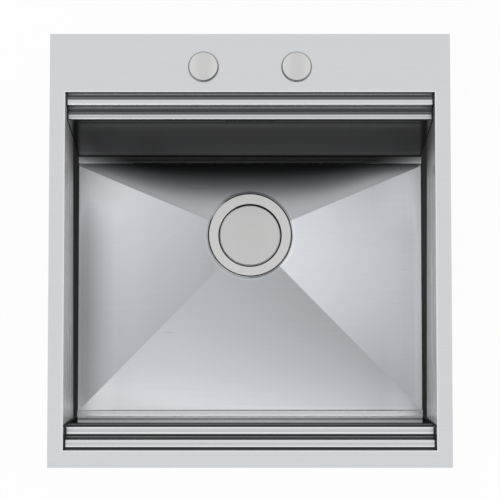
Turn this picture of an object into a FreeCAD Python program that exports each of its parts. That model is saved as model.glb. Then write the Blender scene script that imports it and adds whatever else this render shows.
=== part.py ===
import FreeCAD, Part
import os
import re

import Sketcher

# Kitchen sink with one square bowl, stepped front and rear walls, and a waste worked by a knob.
# Millimetres. X points right, Y to the rear, Z up. The origin is the middle of the rim on the worktop.

SIZES = {
    # Deck: the flat rim around the bowl, its seal and the holes in its rear part
    "deck_width": 480.0,
    "deck_length": 520.0,
    "deck_sheet": 1.5,
    "deck_corner": 1.5,
    "rear_margin": 70.5,
    "front_margin": 20.5,
    "side_margin": 18.5,
    "rim_fold": 1.2,
    "rim_gap": 0.3,
    "seal_height": 1.5,
    "seal_width": 8.0,
    "seal_gap": 0.3,
    "tap_hole_radius": 17.5,
    "tap_hole_spacing": 111.7,
    "tap_hole_from_rear": 40.0,
    # Bowl: two steps, a leaning wall, a low ledge and a bottom that falls to the waste
    "sheet": 1.2,
    "step_rise": 12.0,
    "tread_upper": 13.5,
    "tread_lower": 15.3,
    "wall_lean": 17.0,
    "ledge_depth": 186.0,
    "ledge_width": 8.7,
    "pan_depth": 194.0,
    "pan_fall": 7.0,
    "apex_share": 0.1,
    "bowl_depth": 200.0,
    "waste_from_rear": 147.0,
    "bend": 3.5,
    "nose": 2.0,
    # Sound pads glued to the outside of the bowl
    "pad_sheet": 2.0,
    "side_pad_from_clamp": 25.0,
    "side_pad_height": 110.0,
    "side_pad_drop": 45.0,
    "bottom_pad_width": 260.0,
    "bottom_pad_length": 120.0,
    "bottom_pad_from_waste": 19.3,
    # Clamps under the rim that pull the sink down onto the worktop
    "clamp_offset": 5.1,
    "clamp_from_corner": 64.5,
    "clamp_end_offset": 6.2,
    "boss_radius": 3.4,
    "boss_length": 20.0,
    "screw_radius": 2.0,
    "screw_engagement": 12.0,
    "screw_head_radius": 3.3,
    "screw_head_height": 3.0,
    "screw_head_gap": 0.1,
    "arm_drop": 42.0,
    "arm_sheet": 2.5,
    "arm_reach": 12.0,
    "arm_tooth": 1.5,
    # Round cover of the left tap hole
    "disc_radius": 17.8,
    "disc_height": 2.5,
    "disc_edge": 0.5,
    "ring_radius": 18.4,
    "ring_height": 0.8,
    "running_gap": 0.3,
    "cover_ring_bore": 13.0,
    "stud_radius": 3.0,
    "stud_length": 20.0,
    "washer_radius": 22.0,
    "washer_sheet": 2.0,
    "wing_hub_radius": 6.0,
    "wing_hub_height": 7.0,
    "wing_span": 28.0,
    "wing_height": 9.0,
    "wing_sheet": 2.0,
    # Knob of the waste, its housing in the right hole and the slider that pulls the cable
    "collar_radius": 17.2,
    "barrel_radius": 16.0,
    "barrel_length": 58.0,
    "barrel_floor": 5.0,
    "spindle_radius": 8.0,
    "spindle_length": 24.0,
    "spindle_bore": 5.0,
    "spindle_bore_depth": 20.0,
    "slider_radius": 7.9,
    "slider_height": 10.0,
    "slider_neck_radius": 4.8,
    "slider_neck_length": 20.0,
    "back_nut_radius": 24.0,
    "back_nut_height": 6.0,
    "fit": 0.05,
    # Waste: the steel cup, its flange and what clamps it to the bottom
    "flange_radius": 55.0,
    "flange_sheet": 1.5,
    "flange_edge": 0.6,
    "recess_gap": 2.0,
    "drain_hole_radius": 45.0,
    "gasket_sheet": 1.0,
    "gasket_radius": 54.0,
    "gasket_bore": 44.0,
    "cup_radius": 41.0,
    "cup_sheet": 1.2,
    "cup_straight": 22.0,
    "cup_cone": 14.0,
    "throat_radius": 24.0,
    "cup_floor_depth": 44.0,
    "window_radius": 5.0,
    "window_circle": 15.5,
    "window_count": 6,
    "bolt_radius": 6.0,
    "bolt_head_radius": 9.0,
    "bolt_head_height": 4.0,
    "bolt_length": 20.0,
    # Strainer basket with its stopper, and the flat cover that hides it
    "cover_radius": 38.5,
    "cover_sheet": 1.5,
    "cover_edge": 0.4,
    "stem_radius": 4.0,
    "stem_fit": 0.1,
    "basket_rim_depth": 4.0,
    "basket_rim_radius": 39.5,
    "basket_radius": 37.0,
    "basket_sheet": 1.0,
    "basket_straight": 18.0,
    "basket_floor_radius": 30.0,
    "basket_depth": 26.0,
    "socket_radius": 6.0,
    "socket_top_depth": 12.0,
    "socket_floor_depth": 22.0,
    "basket_boss_radius": 5.0,
    "slot_width": 3.0,
    "slot_height": 9.0,
    "slot_count": 24,
    "stopper_height": 5.0,
    "stopper_gap": 0.4,
    # Plastic housing under the bottom, with the outlet and the overflow inlet
    "housing_gasket_sheet": 2.0,
    "housing_flange_radius": 57.0,
    "housing_flange_sheet": 4.0,
    "housing_bore": 43.5,
    "housing_radius": 47.0,
    "housing_depth": 103.0,
    "housing_cone": 16.0,
    "outlet_radius": 23.9,
    "outlet_bore": 20.0,
    "outlet_length": 22.0,
    "bolt_boss_radius": 10.0,
    "bolt_boss_length": 20.0,
    "rib_sheet": 4.0,
    "rib_height": 14.0,
    "rib_count": 3,
    "spigot_radius": 10.4,
    "spigot_bore": 8.0,
    "spigot_length": 20.0,
    "inlet_depth": 34.0,
    # Lifter: the shaft with its finger and crank, and the pin that lifts the basket
    "pin_radius": 3.0,
    "pin_fit": 0.1,
    "shaft_radius": 3.5,
    "shaft_arm": 18.0,
    "shaft_depth": 78.0,
    "finger_width": 6.0,
    "finger_sheet": 3.0,
    "finger_tip_radius": 3.0,
    "crank_width": 5.0,
    "crank_hub_radius": 7.0,
    "crank_tip_radius": 4.0,
    "crank_gap": 1.5,
    "shaft_ring_radius": 6.0,
    "shaft_ring_width": 3.0,
    "shaft_fit": 0.1,
    "bracket_sheet": 3.0,
    "bracket_front": 13.0,
    "bracket_rear": 22.0,
    "bracket_low": 20.0,
    "bracket_high": 37.0,
    "bracket_core": 22.0,
    "crank_box_low": 11.0,
    "crank_box_high": 28.0,
    "crank_box_wall": 2.0,
    "cover_screw_radius": 1.5,
    "cover_screw_head_radius": 2.8,
    "cover_screw_head_height": 2.0,
    "cover_screw_length": 4.0,
    "cover_screw_edge": 4.5,
    # Cable between the knob and the lifter
    "cable_radius": 2.5,
    "cable_wire_radius": 0.8,
    "cable_grip": 8.0,
    "cable_gland_radius": 5.0,
    "cable_gland_length": 10.0,
    "cable_bend": 110.0,
    # Overflow behind the rear wall and its hose to the waste
    "overflow_width": 60.0,
    "overflow_height": 6.0,
    "overflow_drop": 5.0,
    "chamber_width": 76.0,
    "chamber_drop": 3.2,
    "chamber_height": 38.0,
    "chamber_rear": 22.0,
    "chamber_spigot_inset": 11.2,
    "hose_radius": 13.0,
    "hose_bore": 10.45,
    "hose_grip": 15.0,
    "hose_bend": 45.0,
    "hose_clip_sheet": 1.0,
    "hose_clip_width": 6.0,
    "hose_clip_inset": 4.0,
    # Tools run this far past the faces that they cut
    "overrun": 2.0,
}

DOC = FreeCAD.newDocument("kitchen_sink")
SHEET = DOC.addObject("Spreadsheet::Sheet", "Sizes")
PARTS = []
NAME = re.compile(r"[a-z][a-z_]*")
# Edges are found at their places to this many millimetres, and are straight from this share of their length
NEARNESS = 1e-4
STRAIGHT_SHARE = 0.999

# Heights and places that several pieces share, as formulas of the sizes
TOP = "(seal_height + deck_sheet)"
SIDE = "(deck_width / 2 - side_margin)"
FRONT = "(deck_length / 2 - front_margin)"
REAR = "(deck_length / 2 - rear_margin)"
UPPER_Z = f"({TOP} - step_rise)"
LOWER_Z = f"({UPPER_Z} - step_rise)"
LEDGE_Z = f"({TOP} - ledge_depth)"
PAN_Z = f"({TOP} - pan_depth)"
LOWER_IN = "(tread_upper + tread_lower)"
FOOT_IN = f"({LOWER_IN} + wall_lean)"
TOE_IN = f"({FOOT_IN} + ledge_width)"
WASTE_Y = f"({REAR} - waste_from_rear)"
RING_Z = f"({TOP} - bowl_depth)"
RECESS_RADIUS = "(flange_radius + recess_gap)"
RECESS_DROP = "(flange_sheet + gasket_sheet)"
HOUSING_DROP = f"({RECESS_DROP} + sheet + housing_gasket_sheet)"
TAP_X = "(tap_hole_spacing / 2)"
TAP_Y = "(deck_length / 2 - tap_hole_from_rear)"
DISC_Z = f"({TOP} + ring_height + running_gap)"
SHAFT_Y = f"({WASTE_Y} + shaft_arm)"
SHAFT_Z = f"({RING_Z} - shaft_depth)"
CRANK_Z = f"({SHAFT_Z} + shaft_arm)"
BRACKET_X = f"({TAP_X} - crank_width / 2 - crank_gap)"
SPIGOT_Y = f"({REAR} - {LOWER_IN} + chamber_rear - chamber_spigot_inset)"
CHAMBER_TOP = f"({LOWER_Z} - chamber_drop)"
CHAMBER_BOTTOM = f"({CHAMBER_TOP} - chamber_height)"
INLET_Z = f"({RING_Z} - inlet_depth)"
INLET_END = f"({WASTE_Y} + housing_radius + spigot_length)"
STOPPER_TOP = "(basket_depth + basket_sheet)"
STOPPER_BOTTOM = f"({STOPPER_TOP} + stopper_height)"

TURNS = {
    "X": FreeCAD.Rotation(FreeCAD.Vector(0, 1, 0), 90),
    "Y": FreeCAD.Rotation(FreeCAD.Vector(1, 0, 0), -90),
    "Z": FreeCAD.Rotation(),
}
# A bend that starts heading down and ends heading to the front
DOWN_TO_FRONT = FreeCAD.Rotation(
    FreeCAD.Vector(0, 1, 0),
    FreeCAD.Vector(0, 0, -1),
    FreeCAD.Vector(-1, 0, 0),
    "XYZ",
)


def fill_sheet():
    """Write each size to the sheet, with its name as the alias of its cell."""
    for row, (name, size) in enumerate(SIZES.items(), start=1):
        SHEET.set(f"A{row}", name)
        SHEET.set(f"B{row}", str(size))
        SHEET.setAlias(f"B{row}", name)
    DOC.recompute()


def bound(formula):
    """The formula with each size's name pointing at its cell."""
    return NAME.sub(lambda word: f"Sizes.{word[0]}" if word[0] in SIZES else word[0], formula)


def value(formula):
    """The number that a formula gives now."""
    return float(SHEET.evalExpression(bound(formula)))


def bind(thing, path, formula):
    """Tie one property of an object to a formula of the sizes."""
    thing.setExpression(path, bound(formula))


def place(thing, x="0", y="0", z="0"):
    """Tie the position of an object to formulas of the sizes."""
    for letter, formula in zip("xyz", (x, y, z)):
        bind(thing, f"Placement.Base.{letter}", formula)


def labelled(thing, label):
    """Name a finished sub-part and list it for export."""
    thing.Label = label
    PARTS.append(thing)
    return thing


# PartDesign helpers


def new_body(label):
    """An empty body that will be exported under its label."""
    return labelled(DOC.addObject("PartDesign::Body", "Body"), label)


def new_sketch(body, role, offset):
    """A sketch on one of the body's own origin planes, moved along the plane's normal."""
    sketch = body.newObject("Sketcher::SketchObject", "Sketch")
    plane = next(item for item in body.Origin.OriginFeatures if item.Role == role)
    sketch.AttachmentSupport = [(plane, "")]
    sketch.MapMode = "FlatFace"
    bind(sketch, "AttachmentOffset.Base.z", offset)
    return sketch


def fix_point(sketch, geometry, point, across, up):
    """Hold one point of a sketch at formulas of the sizes."""
    for kind, formula in (("DistanceX", across), ("DistanceY", up)):
        rule = Sketcher.Constraint(kind, -1, 1, geometry, point, value(formula))
        index = sketch.addConstraint(rule)
        if formula != "0":
            bind(sketch, f"Constraints[{index}]", formula)


def polygon(body, role, points, offset="0"):
    """A closed outline of straight lines through points given as formulas."""
    sketch = new_sketch(body, role, offset)
    corners = [FreeCAD.Vector(value(across), value(up), 0) for across, up in points]
    for start, end in zip(corners, corners[1:] + corners[:1]):
        sketch.addGeometry(Part.LineSegment(start, end))
    for edge in range(len(points)):
        following = (edge + 1) % len(points)
        sketch.addConstraint(Sketcher.Constraint("Coincident", edge, 2, following, 1))
    for edge, (across, up) in enumerate(points):
        fix_point(sketch, edge, 1, across, up)
    return sketch


def circle(body, role, across, up, radius, offset="0"):
    """A round outline with its centre and radius given as formulas."""
    sketch = new_sketch(body, role, offset)
    centre = FreeCAD.Vector(value(across), value(up), 0)
    sketch.addGeometry(Part.Circle(centre, FreeCAD.Vector(0, 0, 1), value(radius)))
    fix_point(sketch, 0, 3, across, up)
    index = sketch.addConstraint(Sketcher.Constraint("Radius", 0, value(radius)))
    bind(sketch, f"Constraints[{index}]", radius)
    return sketch


def rectangle(left, right, low, high):
    """The four corners of an upright rectangle."""
    return [(left, low), (right, low), (right, high), (left, high)]


def pad(body, sketch, length):
    """Add material along the sketch's normal."""
    feature = body.newObject("PartDesign::Pad", "Pad")
    feature.Profile = sketch
    bind(feature, "Length", length)
    return feature


def pocket(body, sketch, length):
    """Cut along the sketch's normal."""
    feature = body.newObject("PartDesign::Pocket", "Pocket")
    feature.Profile = sketch
    feature.Reversed = True
    bind(feature, "Length", length)
    return feature


def revolve(body, sketch):
    """Turn an outline of radii and heights once round the body's upright axis."""
    feature = body.newObject("PartDesign::Revolution", "Revolution")
    feature.Profile = sketch
    feature.ReferenceAxis = (sketch, ["V_Axis"])
    feature.Angle = 360
    return feature


def meets(end, goal):
    """Whether two flat points are the same."""
    return max(abs(a - b) for a, b in zip(end, goal)) < NEARNESS


def fillet(body, feature, radius, axis, places):
    """Round the straight edges along an axis that pass through the places."""
    DOC.recompute()
    others = [index for index in range(3) if index != axis]
    goals = [[value(first), value(second)] for first, second in places]
    names = []
    for index, edge in enumerate(feature.Shape.Edges, start=1):
        ends = [vertex.Point for vertex in edge.Vertexes]
        if len(ends) < 2 or ends[0].distanceToPoint(ends[1]) < edge.Length * STRAIGHT_SHARE:
            continue
        flat = [[end[other] for other in others] for end in ends]
        if any(all(meets(end, goal) for end in flat) for goal in goals):
            names.append(f"Edge{index}")
    rounded = body.newObject("PartDesign::Fillet", "Fillet")
    rounded.Base = (feature, names)
    bind(rounded, "Radius", radius)
    return rounded


def round_rims(body, feature, radius, radius_of_rim, height):
    """Round the circular edges of one radius at one height."""
    DOC.recompute()
    goal = value(radius_of_rim)
    level = value(height)
    names = []
    for index, edge in enumerate(feature.Shape.Edges, start=1):
        curve = edge.Curve
        if isinstance(curve, Part.Circle) and abs(curve.Radius - goal) < NEARNESS:
            if abs(curve.Center.z - level) < NEARNESS:
                names.append(f"Edge{index}")
    rounded = body.newObject("PartDesign::Fillet", "Fillet")
    rounded.Base = (feature, names)
    bind(rounded, "Radius", radius)
    return rounded


def polar(body, feature, count):
    """Repeat a feature evenly round the body's upright axis."""
    pattern = body.newObject("PartDesign::PolarPattern", "PolarPattern")
    pattern.Originals = [feature]
    axis = next(item for item in body.Origin.OriginFeatures if item.Role == "Z_Axis")
    pattern.Axis = (axis, [""])
    pattern.Angle = 360
    bind(pattern, "Occurrences", count)
    body.Tip = pattern
    return pattern


def turned(label, x, y, z, points):
    """A body turned from an outline of radii and heights, standing at a place."""
    body = new_body(label)
    feature = revolve(body, polygon(body, "XZ_Plane", points))
    place(body, x, y, z)
    return body, feature


def ring(label, x, y, z, bore, radius, height):
    """A flat ring whose underside lies at z."""
    points = rectangle(bore, radius, "0", height)
    return turned(label, x, y, z, points)[0]


# Part primitives and booleans


def block(x, y, z, length, width, height):
    """A box with its low corner at a place."""
    solid = DOC.addObject("Part::Box", "Box")
    place(solid, x, y, z)
    for name, formula in (("Length", length), ("Width", width), ("Height", height)):
        bind(solid, name, formula)
    return solid


def rod(axis, x, y, z, radius, length):
    """A cylinder that starts at a place and runs along an axis."""
    solid = DOC.addObject("Part::Cylinder", "Cylinder")
    solid.Placement = FreeCAD.Placement(FreeCAD.Vector(), TURNS[axis])
    place(solid, x, y, z)
    bind(solid, "Radius", radius)
    bind(solid, "Height", length)
    return solid


def quarter_bend(x, y, z, bend, radius):
    """A quarter of a torus that leads a tube from heading down to heading to the front."""
    solid = DOC.addObject("Part::Torus", "Torus")
    solid.Placement = FreeCAD.Placement(FreeCAD.Vector(), DOWN_TO_FRONT)
    place(solid, x, y, z)
    bind(solid, "Radius1", bend)
    bind(solid, "Radius2", radius)
    solid.Angle3 = 90
    return solid


def fused(solids):
    """Several solids joined into one."""
    whole = DOC.addObject("Part::MultiFuse", "Fuse")
    whole.Shapes = solids
    whole.Refine = False
    return whole


def cut(base, *tools):
    """What is left of one solid when others are taken away, one after another."""
    rest = base
    for tool in tools:
        whole = rest
        rest = DOC.addObject("Part::Cut", "Cut")
        rest.Base = whole
        rest.Tool = tool
        rest.Refine = False
    return rest


def common(first, second):
    """What two solids share."""
    shared = DOC.addObject("Part::Common", "Common")
    shared.Base = first
    shared.Tool = second
    return shared


def group(solids):
    """Separate solids kept together as one sub-part."""
    whole = DOC.addObject("Part::Compound", "Compound")
    whole.Links = solids
    return whole


# Deck and seal


def make_rim_strip(label, left, right, front, rear, corners, under):
    """One flat strip of the rim, with its outer edges folded down."""
    body = new_body(label)
    outside = rectangle(left, right, front, rear)
    plate = pad(body, polygon(body, "XY_Plane", outside, "rim_gap"), f"{TOP} - rim_gap")
    if corners:
        fillet(body, plate, "deck_corner", 2, corners)
    pocket(body, polygon(body, "XY_Plane", under, "rim_gap"), "seal_height - rim_gap")
    return body


def make_deck():
    """The tap deck behind the bowl, and three strips welded on flush to close the rim."""
    width = "(deck_width / 2)"
    length = "(deck_length / 2)"
    inner_x = f"({width} - rim_fold)"
    inner_y = f"({length} - rim_fold)"
    corners = [(f"-{width}", length), (width, length)]
    under = rectangle(f"-{inner_x}", inner_x, REAR, inner_y)
    deck = make_rim_strip("deck", f"-{width}", width, REAR, length, corners, under)
    for x in (f"-{TAP_X}", TAP_X):
        hole = circle(deck, "XY_Plane", x, TAP_Y, "tap_hole_radius", "seal_height")
        pocket(deck, hole, "deck_sheet")
    front = f"-{FRONT}"
    corners = [(f"-{width}", f"-{length}"), (width, f"-{length}")]
    under = rectangle(f"-{inner_x}", inner_x, f"-{inner_y}", front)
    make_rim_strip("front_rim", f"-{width}", width, f"-{length}", front, corners, under)
    under = rectangle(f"-{inner_x}", f"-{SIDE}", front, REAR)
    make_rim_strip("left_rim", f"-{width}", f"-{SIDE}", front, REAR, [], under)
    under = rectangle(SIDE, inner_x, front, REAR)
    make_rim_strip("right_rim", SIDE, width, front, REAR, [], under)


def make_rim_seal():
    """The soft strip between the rim and the worktop."""
    body = new_body("rim_seal")
    outer_x = "(deck_width / 2 - rim_fold - seal_gap)"
    outer_y = "(deck_length / 2 - rim_fold - seal_gap)"
    inner_x = f"({outer_x} - seal_width)"
    inner_y = f"({outer_y} - seal_width)"
    outside = rectangle(f"-{outer_x}", outer_x, f"-{outer_y}", outer_y)
    inside = rectangle(f"-{inner_x}", inner_x, f"-{inner_y}", inner_y)
    pad(body, polygon(body, "XY_Plane", outside), "seal_height")
    pocket(body, polygon(body, "XY_Plane", inside), "seal_height")


# Bowl


def across_bowl(sign, edge, inward):
    """The Y of a point that lies so far in from the front or rear edge of the opening."""
    return f"{sign}({edge} - {inward})"


def panel_faces():
    """The seen and the hidden face of a stepped wall, as distances inward and heights."""
    seen = [
        ("0", "seal_height"),
        ("0", UPPER_Z),
        ("tread_upper", UPPER_Z),
        ("tread_upper", LOWER_Z),
        (LOWER_IN, LOWER_Z),
        (FOOT_IN, LEDGE_Z),
        (TOE_IN, LEDGE_Z),
        (TOE_IN, PAN_Z),
    ]
    hidden = [("(-sheet)", "seal_height")]
    hidden += [(f"({inward} - sheet)", f"({z} - sheet)") for inward, z in seen[1:-1]]
    hidden += [(f"({TOE_IN} - sheet)", PAN_Z)]
    return seen, hidden


def make_stepped_wall(label, sign, edge):
    """One sheet folded into two steps, a leaning wall, a low ledge and a last riser."""
    seen, hidden = panel_faces()
    body = new_body(label)
    outline = seen + hidden[::-1]
    points = [(across_bowl(sign, edge, inward), z) for inward, z in outline]
    feature = pad(body, polygon(body, "YZ_Plane", points, f"-{SIDE}"), f"2 * {SIDE}")
    hollow_bends = (1, 3, 5)
    proud_bends = (2, 4, 6)
    rounds = (
        (seen, hollow_bends, "bend"),
        (hidden, hollow_bends, "bend + sheet"),
        (seen, proud_bends, "nose"),
        (hidden, proud_bends, "nose - sheet"),
    )
    for face, bends, radius in rounds:
        places = [(across_bowl(sign, edge, face[index][0]), face[index][1]) for index in bends]
        feature = fillet(body, feature, radius, 0, places)
    return body


def make_side_wall(label, start):
    """A flat side of the bowl, cut to the outline of the stepped walls."""
    hidden = panel_faces()[1]
    rear = [(across_bowl("", REAR, inward), z) for inward, z in hidden]
    front = [(across_bowl("-", FRONT, inward), z) for inward, z in hidden]
    rear[-1] = (rear[-1][0], f"({PAN_Z} - sheet)")
    front[-1] = (front[-1][0], f"({PAN_Z} - sheet)")
    body = new_body(label)
    return pad(body, polygon(body, "YZ_Plane", rear + front[::-1], start), "sheet")


def pan_wedge(drop):
    """The hollow of the bottom: four flat faces that fall from its edges towards the waste."""
    solid = DOC.addObject("Part::Wedge", "Wedge")
    solid.Placement = FreeCAD.Placement(FreeCAD.Vector(), TURNS["Y"])
    place(solid, "0", WASTE_Y, f"{PAN_Z} - {drop}")
    rear = f"(waste_from_rear - {TOE_IN})"
    front = f"({WASTE_Y} + {FRONT} - {TOE_IN})"
    edges = {"Xmin": f"-{SIDE}", "Xmax": SIDE, "Zmin": f"-{front}", "Zmax": rear}
    for name, formula in edges.items():
        bind(solid, name, formula)
        bind(solid, name.replace("m", "2m"), f"{formula} * apex_share")
    bind(solid, "Ymin", "0")
    bind(solid, "Ymax", "pan_fall * (1 - apex_share)")
    return solid


def make_bottom():
    """The creased bottom sheet, with a round recess and a hole for the waste."""
    reach_front = f"({FRONT} - {TOE_IN} + sheet)"
    reach_rear = f"({REAR} - {TOE_IN} + sheet)"
    floor = f"({RING_Z} - {RECESS_DROP})"
    length = f"{reach_front} + {reach_rear}"
    edge = block(f"-{SIDE}", f"-{reach_front}", f"{PAN_Z} - sheet", f"2 * {SIDE}", length, "sheet")
    dish_radius = f"({RECESS_RADIUS} + sheet)"
    dish_height = f"{PAN_Z} - {floor} + sheet"
    dish = rod("Z", "0", WASTE_Y, f"{floor} - sheet", dish_radius, dish_height)
    whole = fused([edge, pan_wedge("sheet"), dish])
    recess = rod("Z", "0", WASTE_Y, floor, RECESS_RADIUS, f"{PAN_Z} - {floor}")
    hole_z = f"{floor} - sheet - overrun"
    hole = rod("Z", "0", WASTE_Y, hole_z, "drain_hole_radius", "sheet + 2 * overrun")
    labelled(cut(whole, pan_wedge("0"), recess, hole), "bowl_bottom")


def make_sound_pads():
    """Soft pads glued outside the bowl: one on each side and one under the bottom."""
    low = f"{TOP} - side_pad_drop - side_pad_height"
    end = "(clamp_from_corner + side_pad_from_clamp)"
    front = f"-({FRONT} - {end})"
    length = f"{FRONT} + {REAR} - 2 * {end}"
    for label, x in (
        ("left_sound_pad", f"-({SIDE} + sheet + pad_sheet)"),
        ("right_sound_pad", f"{SIDE} + sheet"),
    ):
        side_pad = block(x, front, low, "pad_sheet", length, "side_pad_height")
        labelled(side_pad, label)
    layer = cut(pan_wedge("(sheet + pad_sheet)"), pan_wedge("sheet"))
    front = f"{WASTE_Y} - {RECESS_RADIUS} - sheet - bottom_pad_from_waste - bottom_pad_length"
    deep = "(sheet + pad_sheet + pan_fall)"
    left = "-bottom_pad_width / 2"
    low = f"{PAN_Z} - {deep}"
    area = block(left, front, low, "bottom_pad_width", "bottom_pad_length", deep)
    labelled(common(area, layer), "bottom_sound_pad")


# Clamps


def clamp_places():
    """Name, X, Y and outward turn of each clamp."""
    side = f"({SIDE} + clamp_offset)"
    rear_y = f"{REAR} - clamp_from_corner"
    front_y = f"clamp_from_corner - {FRONT}"
    return [
        ("left_rear", f"-{side}", rear_y, -90),
        ("left_front", f"-{side}", front_y, -90),
        ("right_rear", side, rear_y, -90),
        ("right_front", side, front_y, -90),
        ("front", "0", f"-({FRONT} + clamp_end_offset)", 0),
        ("rear", "0", f"{FRONT} + clamp_end_offset", 0),
    ]


def make_clamps():
    """Tapped bosses under the rim, a screw in each and a claw that swings on the screw."""
    bosses = []
    screws = []
    boss_end = "(seal_height - boss_length)"
    head_top = "(-arm_drop - arm_sheet - screw_head_gap)"
    for name, x, y, turn in clamp_places():
        outer = rod("Z", x, y, boss_end, "boss_radius", "boss_length")
        inner = rod("Z", x, y, boss_end, "screw_radius + fit", "boss_length")
        bosses.append(cut(outer, inner))
        shank_length = f"{boss_end} + screw_engagement - {head_top}"
        shank = rod("Z", x, y, head_top, "screw_radius", shank_length)
        head_low = f"{head_top} - screw_head_height"
        head = rod("Z", x, y, head_low, "screw_head_radius", "screw_head_height")
        screws.append(fused([shank, head]))
        make_claw(f"{name}_claw", x, y, turn)
    labelled(group(bosses), "clamp_bosses")
    labelled(group(screws), "clamp_screws")


def make_claw(label, x, y, turn):
    """A flat arm with a hole for the screw and a tooth that grips the worktop from below."""
    body = new_body(label)
    hub = circle(body, "XY_Plane", "0", "0", "boss_radius")
    pad(body, hub, "arm_sheet")
    arm = rectangle("0", "arm_reach", "-boss_radius", "boss_radius")
    pad(body, polygon(body, "XY_Plane", arm), "arm_sheet")
    tooth = rectangle("arm_reach - arm_tooth", "arm_reach", "-boss_radius", "boss_radius")
    pad(body, polygon(body, "XY_Plane", tooth, "arm_sheet"), "arm_tooth")
    hole = circle(body, "XY_Plane", "0", "0", "screw_radius + fit")
    pocket(body, hole, "arm_sheet")
    body.Placement = FreeCAD.Placement(FreeCAD.Vector(), FreeCAD.Rotation(turn, 0, 0))
    place(body, x, y, "-arm_drop - arm_sheet")


# Left hole: the tap hole's cover


def make_tap_cover():
    """A disc with a stud, its sealing ring, and a washer and wing nut under the deck."""
    x = f"-{TAP_X}"
    ring("tap_cover_ring", x, TAP_Y, TOP, "cover_ring_bore", "ring_radius", "ring_height + running_gap")
    disc = [
        ("0", "-stud_length"),
        ("stud_radius", "-stud_length"),
        ("stud_radius", "0"),
        ("disc_radius", "0"),
        ("disc_radius", "disc_height"),
        ("0", "disc_height"),
    ]
    body, feature = turned("tap_hole_cover", x, TAP_Y, DISC_Z, disc)
    round_rims(body, feature, "disc_edge", "disc_radius", "disc_height")
    washer_z = "seal_height - washer_sheet"
    ring("tap_cover_washer", x, TAP_Y, washer_z, "stud_radius + fit", "washer_radius", "washer_sheet")
    nut_z = "(seal_height - washer_sheet - wing_hub_height)"
    hub = rod("Z", x, TAP_Y, nut_z, "wing_hub_radius", "wing_hub_height")
    wing_x = f"{x} - wing_span / 2"
    wing_y = f"{TAP_Y} - wing_sheet / 2"
    wing_z = f"{nut_z} - wing_height + wing_hub_height / 2"
    wings = block(wing_x, wing_y, wing_z, "wing_span", "wing_sheet", "wing_height")
    bore_z = f"{nut_z} - wing_height"
    bore = rod("Z", x, TAP_Y, bore_z, "stud_radius + fit", "wing_hub_height + wing_height")
    labelled(cut(fused([hub, wings]), bore), "tap_cover_nut")


# Right hole: the knob that opens the waste


def make_knob():
    """A disc like the cover on the left, on a hollow spindle."""
    points = [
        ("0", "-(spindle_length - spindle_bore_depth)"),
        ("spindle_bore", "-(spindle_length - spindle_bore_depth)"),
        ("spindle_bore", "-spindle_length"),
        ("spindle_radius", "-spindle_length"),
        ("spindle_radius", "0"),
        ("disc_radius", "0"),
        ("disc_radius", "disc_height"),
        ("0", "disc_height"),
    ]
    body, feature = turned("control_knob", TAP_X, TAP_Y, DISC_Z, points)
    round_rims(body, feature, "disc_edge", "disc_radius", "disc_height")


def make_knob_housing():
    """The plastic barrel that holds the spindle, with its nut and washer under the deck."""
    bore = "(spindle_radius + fit)"
    end = "-barrel_length"
    floor = "-(barrel_length - barrel_floor)"
    grip = "(cable_radius + fit)"
    points = [
        (bore, "ring_height"),
        ("ring_radius", "ring_height"),
        ("ring_radius", "0"),
        ("collar_radius", "0"),
        ("collar_radius", "-deck_sheet"),
        ("barrel_radius", "-deck_sheet"),
        ("barrel_radius", end),
        ("cable_gland_radius", end),
        ("cable_gland_radius", f"{end} - cable_gland_length"),
        (grip, f"{end} - cable_gland_length"),
        (grip, f"{end} - cable_gland_length + cable_grip"),
        ("cable_wire_radius", f"{end} - cable_gland_length + cable_grip"),
        ("cable_wire_radius", floor),
        (bore, floor),
    ]
    turned("knob_housing", TAP_X, TAP_Y, TOP, points)
    washer_z = "seal_height - washer_sheet"
    ring("knob_washer", TAP_X, TAP_Y, washer_z, "barrel_radius + fit", "washer_radius", "washer_sheet")
    nut = DOC.addObject("Part::Prism", "Prism")
    nut.Polygon = 6
    nut_z = "(seal_height - washer_sheet - back_nut_height)"
    bind(nut, "Circumradius", "back_nut_radius")
    bind(nut, "Height", "back_nut_height")
    place(nut, TAP_X, TAP_Y, nut_z)
    hole = rod("Z", TAP_X, TAP_Y, nut_z, "barrel_radius + fit", "back_nut_height")
    labelled(cut(nut, hole), "knob_back_nut")


def make_slider():
    """The piece in the barrel that climbs as the knob turns, and pulls the cable's wire."""
    points = [
        ("0", "0"),
        ("slider_radius", "0"),
        ("slider_radius", "slider_height"),
        ("slider_neck_radius", "slider_height"),
        ("slider_neck_radius", "slider_height + slider_neck_length"),
        ("0", "slider_height + slider_neck_length"),
    ]
    z = f"{TOP} - barrel_length + barrel_floor + running_gap"
    turned("cable_slider", TAP_X, TAP_Y, z, points)


def make_cable():
    """The sleeve of the control cable, from the knob's barrel down and forward to the crank."""
    start = f"({TOP} - barrel_length - cable_gland_length)"
    gland_end = f"({SHAFT_Y} + bracket_rear + cable_gland_length)"
    bend_y = f"({TAP_Y} - cable_bend)"
    bend_z = f"({CRANK_Z} + cable_bend)"
    down = rod("Z", TAP_X, TAP_Y, bend_z, "cable_radius", f"{start} + cable_grip - {bend_z}")
    bend = quarter_bend(TAP_X, bend_y, bend_z, "cable_bend", "cable_radius")
    front = f"{gland_end} - cable_grip"
    along = rod("Y", TAP_X, front, CRANK_Z, "cable_radius", f"{bend_y} - ({front})")
    labelled(fused([down, bend, along]), "control_cable")


# Waste


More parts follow.
